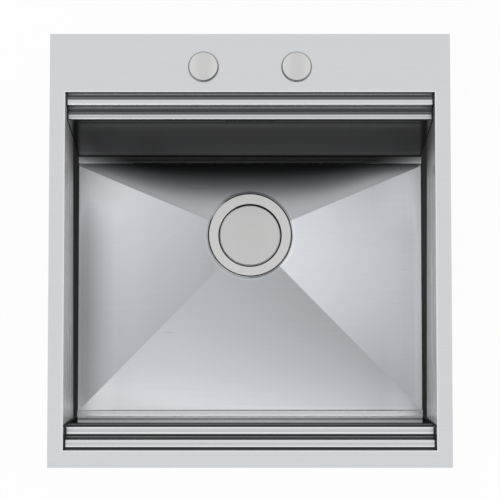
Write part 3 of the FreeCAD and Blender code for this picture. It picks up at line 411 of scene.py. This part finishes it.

# %% [markdown]
# ### The rear wall
# The rear wall is painted as the darkest part of the bowl: a painted reflection of the unlit side of
# the room. Towards its two ends it gets the painted reflection of the side walls: first a dark
# corner of painted shade, then a lighter strip that starts further out on the way down, as the
# wall leans. The low ledge at its foot is painted dark too, and its two ends are painted as lit.
# The wall and those ends are painted as matt, so that the paint and not a mirror image decides how
# light they are.

# %% Rear wall finish
# Painted reflection and shade down the fold, as (fold, display level)
rear_steps = [(0.0000, 120), (0.0060, 254), (0.0088, 151), (0.0098, 83), (0.0109, 36), (0.0121, 63)]
rear_steps += [(0.0134, 115), (0.0146, 87), (0.0156, 101), (0.0162, 203), (0.0183, 204), (0.0207, 212)]
rear_steps += [(0.0219, 206), (0.0226, 191), (0.0257, 252), (0.0318, 252), (0.0345, 128), (0.0352, 94)]
rear_steps += [(0.0364, 70), (0.0389, 66), (0.0401, 62), (0.0413, 105), (0.0426, 82), (0.0438, 138)]
rear_steps += [(0.0450, 214), (0.0462, 166), (0.0475, 199), (0.0490, 198), (STEPS_END, 74)]
rear_bands = [(STEPS_END, 48), (0.0540, 26), (0.0594, 83), (0.0640, 50), (0.0730, 83), (0.0870, 74)]
rear_bands += [(0.1050, 69), (0.1400, 69), (0.1700, 72), (0.2000, 77), (0.2154, 86), (0.2210, 78)]
rear_bands += [(0.2258, 25), (0.2294, 22), (0.2307, 30), (0.2333, 55), (0.2350, 41), (0.2360, 34)]
rear_bands += [(0.2372, 62), (0.2400, 96), (0.2425, 215), (0.2455, 160)]
rear_steel, grain, fold, bright, seen = folded_steel("rear_wall_steel", rear, -1.0, rear_steps, rear_bands)
out_x = abs(rear_steel.x)
is_left = rear_steel.x < 0.0

# The ledge's ends, painted as lit
ledge = (fold > LEDGE_START) * (fold < 0.243)
lit_end = ledge * out_x.rising(0.15, 0.175)
climb = fold.rising(LEDGE_START, 0.2378).between(0.3, 1.0)
lit_light = (out_x / 0.2175) ** 8.5 * climb * is_left.between(0.62, 1.15)
bright = lit_end.between(bright, lit_light)

# Painted light: on the left the wall lightens on its way down, more so near its end
lean = (fold - STEPS_END) / (LEDGE_START - STEPS_END)
on_wall = (fold > 0.0525) * (fold < LEDGE_START)
near_end = out_x.rising(0.13, 0.195) * 0.8 + out_x.rising(0.195, 0.212) * 1.2
bright = bright * (1.0 + on_wall * is_left * lean * near_end)

# Painted shade of the dark corner, the painted reflection of the lighter strip beyond it, and the dark line
# where the sheets meet
corner = out_x - 0.2085 - lean * 0.0146
bright = (on_wall * corner.rising(-0.004, 0.0006)).between(bright, light(40))
strip = on_wall * corner.rising(0.0046, is_left.between(0.0085, 0.0115))
bright = strip.between(bright, is_left.between(light(100), light(165)))
bright = (on_wall * (out_x - side).rising(-0.0018, -0.0008)).between(bright, light(40))
paint_sheet(rear_steel, end_gap_shade(rear_steel, bright, fold), grain, seen, STEEL)
rear_steel.metal(1.0 - seen * on_wall.most(lit_end))

# %% [markdown]
# ### The front wall
# The front wall faces the light that comes over the rear deck, so it is painted bright, with
# soft bands of painted reflection. From above it is a thin strip, with painted shade in its two
# lower corners, and the ends of its low ledge are painted lighter.

# %% Front wall finish
# Painted reflection and shade down the fold, as (fold, display level)
front_steps = [(0.0000, 28), (0.0080, 58), (0.0103, 90), (0.0115, 12), (0.0130, 30), (0.0135, 213)]
front_steps += [(0.0143, 241), (0.0152, 200), (0.0163, 198), (0.0186, 193), (0.0198, 224), (0.0212, 195)]
front_steps += [(0.0221, 236), (0.0226, 77), (0.0300, 69), (0.0356, 74), (0.0368, 62), (0.0380, 116)]
front_steps += [(0.0392, 16), (0.0402, 21), (0.0407, 24), (0.0413, 200), (0.0428, 232), (0.0440, 189)]
front_steps += [(0.0464, 198), (0.0475, 207), (0.0492, 252), (STEPS_END, 166)]
front_bands = [(STEPS_END, 144), (0.0600, 88), (0.0691, 28), (0.0869, 150), (0.1048, 60), (0.1231, 188)]
front_bands += [(0.1416, 252), (0.1603, 238), (0.1793, 180), (0.1986, 134), (0.2090, 252)]
front_bands += [(0.2130, 252), (0.2285, 252), (0.2300, 226), (0.2320, 208), (0.2345, 196)]
front_bands += [(0.2358, 221), (0.2368, 188), (0.2455, 172)]
front_steel, grain, fold, bright, seen = folded_steel(
    "front_wall_steel", front, 1.0, front_steps, front_bands
)
# Painted light: the ends of the low ledge are made up to 1.8 times brighter
lit_ledge_ends = abs(front_steel.x).rising(0.160, 0.2150) ** 2.0 * (fold > LEDGE_START)
bright = bright * (1.0 + lit_ledge_ends * 0.8)
# Painted shade in the two lower corners of the leaning wall
foot_corner_shade = (abs(front_steel.x) - fold * 0.0862 > 0.2015) * (fold > 0.112) * (fold < LEDGE_START)
bright = foot_corner_shade.between(bright, light(42))
paint_sheet(front_steel, end_gap_shade(front_steel, bright, fold), grain, seen, STEEL)
on_wall = (fold > 0.0505) * (fold < LEDGE_START)
front_steel.metal(1.0 - seen * on_wall.most(lit_ledge_ends * 0.8))

# %% [markdown]
# ## The side walls
# The side walls are flat and upright, so from above they are only thin strips. Their upper part
# has the painted reflection of the bright bottom, and below a sharp line the painted reflection of
# the dark corner. The upper part's painted light darkens towards the rear and downwards, and the
# right wall is painted darker than the left one. Painted shade marks a dark gap down their front end.

# %% Side wall finish
side_steel = Finish("side_wall_steel", metallic=1.0)
grain = brush(side_steel, (1.0, 60.0, 1.0), rough=0.26)
# Painted reflection: the upper part's light along the wall, lower towards the rear and downwards, darker on
# the right wall
left_levels = [(-0.21, 208), (-0.192, 205), (-0.178, 190), (-0.15, 202), (-0.12, 216), (-0.077, 224)]
left_levels += [(-0.03, 222), (0.05, 204), (0.09, 206), (0.105, 214), (0.124, 182), (0.14, 163)]
left_levels += [(0.165, 160)]
right_percents = [(-0.21, 112), (-0.17, 108), (-0.128, 85), (-0.08, 75), (0.07, 76), (0.105, 80)]
right_percents += [(0.124, 61), (0.136, 48), (0.149, 43), (0.165, 28)]
lower_line = side_steel.z - side_steel.y * 0.068
upper = side_steel.bands(side_steel.y, left_levels) * lower_line.rising(-0.125, -0.05).between(0.55, 1.04)
right_share = side_steel.graph(side_steel.y, right_percents) * 0.01
upper = upper * (side_steel.x > 0.0).between(1.0, right_share)
# Below a sharp line, the painted reflection of the dark corner
is_upper = lower_line.rising(-0.1135, -0.1125)
bright = is_upper.between(light(70), upper)
# Painted shade of the dark gap down the front end
from_front = side_steel.y + 0.2107 + (side_steel.z + 0.021) * 0.105
bright = from_front.rising(0.0030, 0.0044).between(light(86), bright)
seen = (abs(side_steel.x) < side + 0.0003) * (abs(side_steel.facing_x) > 0.5)
paint_sheet(side_steel, bright, grain, seen, NEUTRAL_STEEL)
rear_end = side_steel.y.rising(0.075, 0.115)
side_steel.metal(1.0 - seen * (1.0 - is_upper).most(rear_end).most(0.5))

# %% [markdown]
# ## The creased bottom
# The bottom falls to the waste in four flat facets that meet in sharp creases. A point belongs to
# the facet along which it is farthest out, as a share of the way to the bottom's edge. Each facet
# has its own sweep of painted light, from the painted reflection of the dark rear wall to the
# bright front. The sweeps are worked out as display levels, because even steps in them look even
# to the eye.

# %% Where a point is on the bottom
pan_steel = Finish("bottom_steel")
grain = brush(pan_steel, rough=0.32)
out_x = abs(pan_steel.x)
up = pan_steel.y - waste_y
out_side = out_x / side
out_rear = up / (pan_rear - waste_y)
out_front = -1.0 * up / (waste_y - pan_front)
is_right = pan_steel.x > 0.0
is_rear = (out_rear - out_side).rising(-0.034, -0.026)
is_front = (out_front - out_side - is_right.between(0.008, 0.003)).rising(-0.004, 0.004)
print("the bottom reaches from", round(pan_front, 4), "to", round(pan_rear, 4))


# %% The left, right and front facets
def shown(level):
    """The light of a display level that is itself a reading, taken as 8 where it is less."""
    return light(level.most(8.0))


# Painted light: each facet's sweep of light, as display levels
decimetres_x, decimetres_y = pan_steel.x * 10.0, up * 10.0
left_stops = [(0.05, 177), (0.07, 185), (0.09, 190), (0.12, 198), (0.15, 210), (0.175, 216)]
left_stops += [(0.19, 207), (0.21, 187), (0.22, 200)]
right_stops = [(0.05, 214), (0.07, 211), (0.09, 209), (0.12, 203), (0.15, 200), (0.175, 199)]
right_stops += [(0.2, 202), (0.21, 210), (0.22, 242)]

# Painted light: both side facets grow lighter into their rear and front corners
corner_x = (out_x - 0.16).most(0.0)
rear_gain = decimetres_y.most(0.0) * corner_x * 900.0
front_gain = (-1.0 - decimetres_y).most(0.0) * (corner_x - 0.01).most(0.0) * 400.0
corner_light_gain = rear_gain + front_gain
left_sweep = decimetres_y * (14.7 + out_x * 62.0 + decimetres_y * 6.8)
left_facet = shown(pan_steel.graph(out_x, left_stops) + corner_light_gain + left_sweep)
right_sweep = decimetres_y * (3.5 - out_x * 36.0 - decimetres_y * 6.7)
right_facet = shown(pan_steel.graph(out_x, right_stops) + corner_light_gain + right_sweep)
front_sweep = decimetres_y * (11.9 - decimetres_x * 1.8 + decimetres_y * 15.1)
front_facet = shown(173.0 - decimetres_x * 13.6 + front_sweep)
print("side facets follow", len(left_stops) + len(right_stops), "stops")

# %% The rear facet, and all four together
rear_stops = [(0.0, 12), (0.003, 15), (0.009, 21), (0.015, 40), (0.021, 62), (0.027, 80), (0.033, 100)]
rear_stops += [(0.039, 121), (0.045, 141), (0.051, 157), (0.06, 168), (0.085, 176)]

# Painted reflection of the dark rear wall: it darkens towards the wall, less so near its two ends, where
# the dark band bends back
end_share = out_x / 0.19
bend = end_share ** is_right.between(4.5, 3.0) * is_right.between(0.0215, 0.0155)
steeper = end_share**3.5 * is_right.between(1.15, 1.55)
depth_in = (pan_rear - pan_steel.y) * (1.0 + steeper) + bend
rear_facet = pan_steel.bands(depth_in, rear_stops)
bright = is_rear.between(is_right.between(left_facet, right_facet), rear_facet)
bright = is_front.between(bright, front_facet)

# Painted highlights where the bottom's outer edge catches the light, most of all on the right, and painted
# shade on the fold in front
edge_glow = out_x.rising(0.2175, 0.2185) * is_right.between(0.12, 0.9)
front_glow = out_front.rising(0.972, 0.985) * is_right.between(0.16, 0.08)
corner_glow = out_front.rising(0.9, 1.0) * out_x.rising(0.195, 0.215) * is_right.between(0.3, 0.1)
front_fold_shade = out_front.rising(0.9925, 0.9965) * is_right.between(0.5, 0.35)
bright = bright * (1.0 + edge_glow + front_glow + corner_glow - front_fold_shade)
print("the rear facet follows", len(rear_stops), "stops")

# %% [markdown]
# ### Light round the waste
# The waste's flange lies in a shallow recess. The steel just outside it is painted a little
# brighter in front and at the sides. At the upper left the recess's edge gets a painted highlight,
# so the dark line round the flange pales there. How far a point looks to the upper left is the sum
# of its way left and its way up, weighted and divided by its distance from the waste's middle.

# %% Painted light round the flange
def distance(across, up):
    """The distance from a middle: the root of across squared plus up squared."""
    return (across * across + up * up) ** 0.5


def upper_left(across, up, away, start):
    """1 at the upper left of a middle, and 0 where the weighted way there is start or less."""
    return ((up * 0.616 - across * 0.788) / away).rising(start, 0.99)


away = distance(pan_steel.x, up)
# Painted light just outside the flange, and a painted highlight on the recess's edge at the upper left
lit_near_flange = (1.0 - away.rising(0.0568, 0.0592)) * (1.0 - (up / away).rising(0.2, 0.7))
recess_highlight = (1.0 - away.rising(0.0566, 0.0574)) * upper_left(pan_steel.x, up, away, 0.955)
bright = bright * (1.0 + lit_near_flange * 0.18 + recess_highlight * 0.5)
paint_sheet(pan_steel, bright * 1.26, grain, pan_steel.facing_z > 0.0, PAN_STEEL)
pan_steel.metal(0.55 + is_front * out_x.rising(0.17, 0.21) * 0.45)

# %% [markdown]
# ## Turned discs and the waste's steel
# The two discs on the rear deck and the cover of the waste are faced on a lathe, which leaves
# fine rings and the two soft fans of light that such rings give; the fans are painted highlights.
# The rings are a sine of the distance from the middle. The fans follow how far a point is to the
# side of the middle. The discs have a rounded edge of painted shade, darkest at the lower left,
# and the waste has two dark lines of painted shade, one round its cover and one round its flange,
# that pale with a painted highlight at the upper left.

# %% Turned finishes
def shade_line(finish, inner, outer, dark, lit, start, rearward):
    """Where a dark line of painted shade round the waste lies, its light, and how far it is to the upper
    left.

    The line runs from the inner to the outer radius about a middle that is rearward of the
    waste's, and its level goes from dark to a painted highlight at the upper left."""
    up = finish.y - waste_y - rearward
    away = distance(finish.x, up)
    soft = 0.0003
    in_line = away.rising(inner - soft, inner + soft) * (1.0 - away.rising(outer - soft, outer + soft))
    pale = upper_left(finish.x, up, away, start)
    return in_line, pale.between(light(dark), light(lit)), pale


def turned_steel(name, level, centre_x, centre_y, radius, fan, pitch, lines=(), edge=None):
    """Steel faced on a lathe about an upright axis; two discs share one, as across is |x| - centre_x.

    Its brightness is light(level) x (0.985 + fan x sideways + 0.008 x rings + 0.02 x speck), where
    rings is the sine of 2 pi x distance / pitch. Under the last of the lines it is matt where the line
    pales at the upper left."""
    finish = Finish(name, metallic=1.0)
    across = abs(finish.x) - centre_x if centre_x else finish.x
    up = finish.y - centre_y
    away = distance(across, up)
    rings = (away * (2.0 * math.pi / pitch)).sine()
    sideways = (abs(across) / radius).rising(0.25, 0.75)
    speck = finish.noise(900.0)
    # The fan term is a painted highlight to the sides of the middle
    bright = light(level) * (0.985 + sideways * fan + rings * 0.008 + speck * 0.02)
    finish.rough(0.27 + speck * 0.06)
    finish.relief(rings, 0.000004)
    for line in lines:
        # Each line is painted shade, paling to a painted highlight at the upper left
        in_line, line_light, pale = shade_line(finish, *line)
        bright = in_line.between(bright, line_light)
    if lines:
        finish.metal(1.0 - in_line * pale)
    if edge:
        # Painted shade on the rounded edge, darkest at the lower left
        lower_left_shade = ((across * -0.45 - up * 0.893) / away.most(0.001)).most(0.0) ** 1.5
        in_line = away.rising(edge - 0.0012, edge - 0.0005) * (finish.facing_z > 0.5)
        bright = in_line.between(bright, lower_left_shade.between(light(148), light(44)))
    finish.paint(bright, NEUTRAL_STEEL)
    finish.tell()
    return finish


# Painted shade lines round the flange and the cover: radii, dark and lit level, start of the paling,
# rearward shift
flange_shade_line = (0.0530, 0.0546, 14, 150, 0.955, 0.0006)
cover_shade_line = (0.0391, 0.0412, 84, 255, 0.88, 0.0)
disc_steel = turned_steel("disc_steel", 200, disc_x, disc_y, 0.0178, 0.1, 0.0004, edge=0.0176)
cover_steel = turned_steel("cover_steel", 194, 0.0, waste_y, 0.0385, 0.02, 0.0005)
waste_shade_lines = (flange_shade_line, cover_shade_line)
waste_steel = turned_steel("waste_steel", 203, 0.0, waste_y, 0.055, 0.0, 0.0006, waste_shade_lines)

# %% [markdown]
# ## Small parts
# Zinc is a dull blue-grey metal with a faint cloudy spangle. Brass is a warm metal that darkens
# in patches. Rubber and moulded plastic aren't metals: rubber is almost black and matt, moulded
# plastic has a fine even texture and a soft shine.

# %% Zinc, brass, rubber, foam and plastic
def cloudy_metal(name, level, tint, rough):
    """Metal in clouds: light(level) x (0.86 + 0.22 x cloud + 0.06 x speck), rougher in the clouds."""
    finish = Finish(name, metallic=1.0)
    cloud = finish.noise(90.0, 3.0)
    speck = finish.noise(1500.0, 1.0)
    finish.paint(light(level) * (0.86 + cloud * 0.22 + speck * 0.06), tint)
    finish.rough(rough - 0.06 + cloud * 0.12)
    finish.relief(speck, 0.00001)
    finish.tell()
    return finish


def moulded(name, colour, rough, texture=0.00002, scale=1800.0, variation=0.12):
    """Rubber or plastic: its colour x (1 - variation / 2 + variation x the mean of two noises)."""
    finish = Finish(name)
    pores = finish.noise(scale)
    cloud = finish.noise(25.0)
    finish.paint(1.0 - variation / 2 + (pores * 0.5 + cloud * 0.5) * variation, colour)
    finish.rough(rough + (pores - 0.5) * 0.12)
    finish.relief(pores, texture)
    finish.tell()
    return finish


zinc_steel = cloudy_metal("zinc_steel", 196, (0.96, 0.99, 1.03), 0.38)
brass = cloudy_metal("brass", 225, (0.92, 0.72, 0.38), 0.3)
ring_rubber = moulded("ring_rubber", (0.022, 0.022, 0.023), 0.62)
pad_rubber = moulded("pad_rubber", (0.055, 0.057, 0.06), 0.8, 0.00015, 500.0, 0.3)
seal_foam = moulded("seal_foam", (0.035, 0.035, 0.037), 0.9, 0.0002, 1600.0, 0.5)
black_plastic = moulded("black_plastic", (0.03, 0.031, 0.033), 0.42)
# The collars are the black plastic painted lighter, as a painted highlight on their thin rings
lit_collar_plastic = moulded("lit_collar_plastic", (0.16, 0.162, 0.165), 0.42)
white_plastic = moulded("white_plastic", (0.72, 0.71, 0.68), 0.4)
cable_black = moulded("cable_black", (0.025, 0.025, 0.027), 0.5)
hose_grey = moulded("hose_grey", (0.36, 0.37, 0.38), 0.5)

# %% [markdown]
# ## Which piece has which finish
# Every solid gets its finish in its own material slots.

# %% Dress the solids
finishes = {
    rim_steel: "deck front_rim left_rim right_rim",
    rear_steel: "rear_wall",
    front_steel: "front_wall",
    side_steel: "left_wall right_wall overflow_chamber",
    pan_steel: "bowl_bottom",
    disc_steel: "tap_hole_cover control_knob",
    cover_steel: "drain_cover",
    waste_steel: "waste_cup strainer_basket",
    zinc_steel: "clamp_bosses clamp_screws tap_cover_washer tap_cover_nut crank_cover_screws hose_clips"
    " left_rear_claw left_front_claw right_rear_claw right_front_claw front_claw rear_claw",
    brass: "hollow_bolt lifter_pin",
    ring_rubber: "flange_gasket housing_gasket stopper shaft_ring knob_washer",
    lit_collar_plastic: "tap_cover_ring knob_housing",
    pad_rubber: "left_sound_pad right_sound_pad bottom_sound_pad",
    seal_foam: "rim_seal",
    black_plastic: "knob_back_nut waste_housing crank_cover",
    white_plastic: "cable_slider lifter_shaft shaft_crank",
    cable_black: "control_cable",
    hose_grey: "overflow_hose",
}
dressed = 0
for finish, names in finishes.items():
    for name in names.split():
        for slot in nodes[name].material_slots:
            slot.material = finish.material
        dressed += 1
print(dressed, "of", len(nodes), "solids dressed")

# %% [markdown]
# ## The overflow's hose
# The real hose is corrugated so that it bends without a kink, with a plain cuff at each end for
# its clip. Its path runs down from the overflow box, round a quarter circle and forward to the
# waste. Its radius is a cosine of the distance along the path, which fades out in the cuffs. The
# rows of points go forward along the outside and back along the bore, so the wall is closed.

# %% Points along a path and rings round it
def along_path(points, steps):
    """Evenly spaced places on a path in the plane that divides left from right.

    Each place lies between two points, as far along as its share of the summed lengths says.
    Returns the distance along the path, y, z and the direction there, of length 1."""
    points = np.array(points)
    lengths = np.concatenate([[0.0], np.cumsum(np.linalg.norm(np.diff(points, axis=0), axis=1))])
    at = np.linspace(0.0, lengths[-1], steps)
    y, z = np.interp(at, lengths, points[:, 0]), np.interp(at, lengths, points[:, 1])
    ahead = np.stack([np.gradient(y, at), np.gradient(z, at)], -1)
    return at, y, z, ahead / np.linalg.norm(ahead, axis=1)[:, None]


def rings_round(y, z, ahead, radius):
    """Rings round a path: radius x cos(angle) sideways and radius x sin(angle) square to ahead."""
    angle = np.linspace(0.0, 2.0 * np.pi, 40, endpoint=False)[None, :]
    sideways = radius[:, None] * np.cos(angle)
    outward = radius[:, None] * np.sin(angle)
    ring_y = y[:, None] + outward * ahead[:, 1:]
    ring_z = z[:, None] - outward * ahead[:, :1]
    return np.stack([sideways, ring_y, ring_z], -1)


print("a straight metre in 3 places:", along_path([(0.0, 0.0), (1.0, 0.0)], 3)[0])

# %% Corrugated hose in place of the plain one
hose_low, hose_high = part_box("overflow_hose")
hose_radius = hose_high.x
hose_bore = 0.01045
bend_radius = 0.045
cuff_length, cuff_fade = 0.015, 0.003
rib_pitch, rib_depth = 0.0042, 0.0017
inset = 0.0001
down_y = hose_high.y - hose_radius
forward_z = hose_low.z + hose_radius
turn = np.linspace(0.0, np.pi / 2.0, 40)
bend_y = down_y - bend_radius + bend_radius * np.cos(turn)
bend_z = forward_z + bend_radius - bend_radius * np.sin(turn)
path = [(down_y, hose_high.z)] + list(zip(bend_y, bend_z)) + [(hose_low.y, forward_z)]
at, y, z, ahead = along_path(path, 521)
from_end = np.minimum(at, at[-1] - at)
inside_cuffs = np.clip((from_end - cuff_length) / cuff_fade, 0.0, 1.0)
grooves = 0.5 + 0.5 * np.cos(at * 2.0 * np.pi / rib_pitch)
outside = rings_round(y, z, ahead, hose_radius - inset - inside_cuffs * grooves * rib_depth)
back = slice(None, None, -8)
bore = rings_round(y[back], z[back], ahead[back], np.full(len(y[back]), hose_bore))
hose_rows = np.concatenate([outside, bore])
hose = piece_from_grids("ribbed_hose", [hose_rows], hose_grey, "sink", round_rows=True)
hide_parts("overflow_hose")

# %% [markdown]
# ## Threads
# The clamp screws and the waste's outlet have threads, which the solids leave smooth. Each is a
# small ridge, three-cornered in section, that climbs round its shaft.

# %% A thread as a ridge on a helix
def thread_grid(x, y, radius, depth, pitch, low, high):
    """A thread round an upright shaft: a small ridge, three-cornered in section, on a helix.

    The angle grows evenly with the height, one turn for each pitch. The three corners are 0.42
    pitches above the helix, on it, and as far below, and the middle one stands out by the depth.
    The ridge fades at both ends."""
    turns = (high - low) / pitch
    along = np.linspace(0.0, 1.0, int(turns * 20) + 1)[:, None]
    angle = along * turns * 2.0 * np.pi
    fade = np.clip(np.minimum(along, 1.0 - along) * turns * 2.0, 0.05, 1.0)
    out = radius + np.array([-0.25, 1.0, -0.25])[None, :] * depth * fade
    up = np.array([0.42, 0.0, -0.42])[None, :] * pitch
    return np.stack([x + out * np.cos(angle), y + out * np.sin(angle), low + along * (high - low) + up], -1)


print("one turn takes", len(thread_grid(0.0, 0.0, 1.0, 0.1, 1.0, 0.0, 1.0)) - 1, "steps")

# %% Threads on the clamp screws and on the outlet
screw_x, screw_rear_y, screw_front_y, end_screw_y = 0.2266, 0.125, -0.175, 0.2457
screw_places = [(x, y) for x in (-screw_x, screw_x) for y in (screw_rear_y, screw_front_y)]
screw_places += [(0.0, end_screw_y), (0.0, -end_screw_y)]
screw_radius, screw_depth, screw_pitch, screw_low, screw_high = 0.002, 0.0002, 0.0008, -0.0402, -0.0188
screw_thread = (screw_radius, screw_depth, screw_pitch, screw_low, screw_high)
screw_threads = [thread_grid(x, y, *screw_thread) for x, y in screw_places]
piece_from_grids("clamp_screw_threads", screw_threads, zinc_steel, "sink")
outlet_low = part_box("waste_housing")[0].z
outlet_radius, outlet_depth, outlet_pitch = 0.0239, 0.0009, 0.0023
outlet_thread = thread_grid(
    0.0, waste_y, outlet_radius, outlet_depth, outlet_pitch, outlet_low + 0.001, outlet_low + 0.02
)
piece_from_grids("outlet_thread", [outlet_thread], black_plastic, "sink")

# %% [markdown]
# ## The floor
# The picture's ground is pure white. The floor shows white to the camera and to mirrors, yet
# stays a real surface for a small part, so that it keeps a faint shadow.

# %% Floor
floor_finish = Finish("floor_white", roughness=0.9)
floor_finish.shader.inputs["Base Color"].default_value = (0.9, 0.9, 0.9, 1.0)
paths = floor_finish.tree.nodes.new("ShaderNodeLightPath")
ray_names = ("Is Camera Ray", "Is Glossy Ray", "Is Transmission Ray")
camera_ray, glossy_ray, clear_ray = (Reading(floor_finish, paths.outputs[name]) for name in ray_names)
glow = floor_finish.node("ShaderNodeEmission", {}, (1.0, 1.0, 1.0, 1.0), 1.0)
share = (camera_ray + glossy_ray + clear_ray).least(1.0) * 0.94
matt = Reading(floor_finish, floor_finish.shader.outputs[0])
mixed = floor_finish.node("ShaderNodeMixShader", {}, share, matt, glow)
floor_finish.feed(floor_finish.tree.nodes["Material Output"].inputs["Surface"], mixed)

half_floor = 6.0
floor_z = cad_low[2]
turns_round = ((-1.0, -1.0), (1.0, -1.0), (1.0, 1.0), (-1.0, 1.0))
corners = [(x * half_floor, y * half_floor, floor_z) for x, y in turns_round]
floor_mesh = bpy.data.meshes.new("floor")
floor_mesh.from_pydata(corners, [], [(0, 1, 2, 3)])
floor_mesh.materials.append(floor_finish.material)
floor = bpy.data.objects.new("floor", floor_mesh)
scene.collection.objects.link(floor)
floor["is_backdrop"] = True
print("floor at", round(floor_z, 4))

# %% [markdown]
# ## The light
# The world is an even white, a little weaker where it lights matt surfaces, and one soft lamp
# from the front left adds direction.

# %% World and lamp
world = bpy.data.worlds.new("studio")
world.use_nodes = True
scene.world = world
background = world.node_tree.nodes["Background"]
background.inputs["Color"].default_value = (1.0, 1.0, 1.0, 1.0)
world_paths = world.node_tree.nodes.new("ShaderNodeLightPath")
strength = world.node_tree.nodes.new("ShaderNodeMapRange")
strength.inputs["To Min"].default_value = 1.0
strength.inputs["To Max"].default_value = 0.8
world.node_tree.links.new(world_paths.outputs["Is Diffuse Ray"], strength.inputs["Value"])
world.node_tree.links.new(strength.outputs["Result"], background.inputs["Strength"])

lamp_data = bpy.data.lights.new("soft_lamp", "SUN")
lamp_data.energy = 0.7
lamp_data.angle = math.radians(35.0)
lamp = bpy.data.objects.new("soft_lamp", lamp_data)
lamp.rotation_euler = (math.radians(38.0), math.radians(-28.0), 0.0)
scene.collection.objects.link(lamp)

scene.view_settings.view_transform = "Standard"
print("lamp strength", round(lamp_data.energy, 2))

# %% [markdown]
# The dressed sink has to stay in the box of its solids.
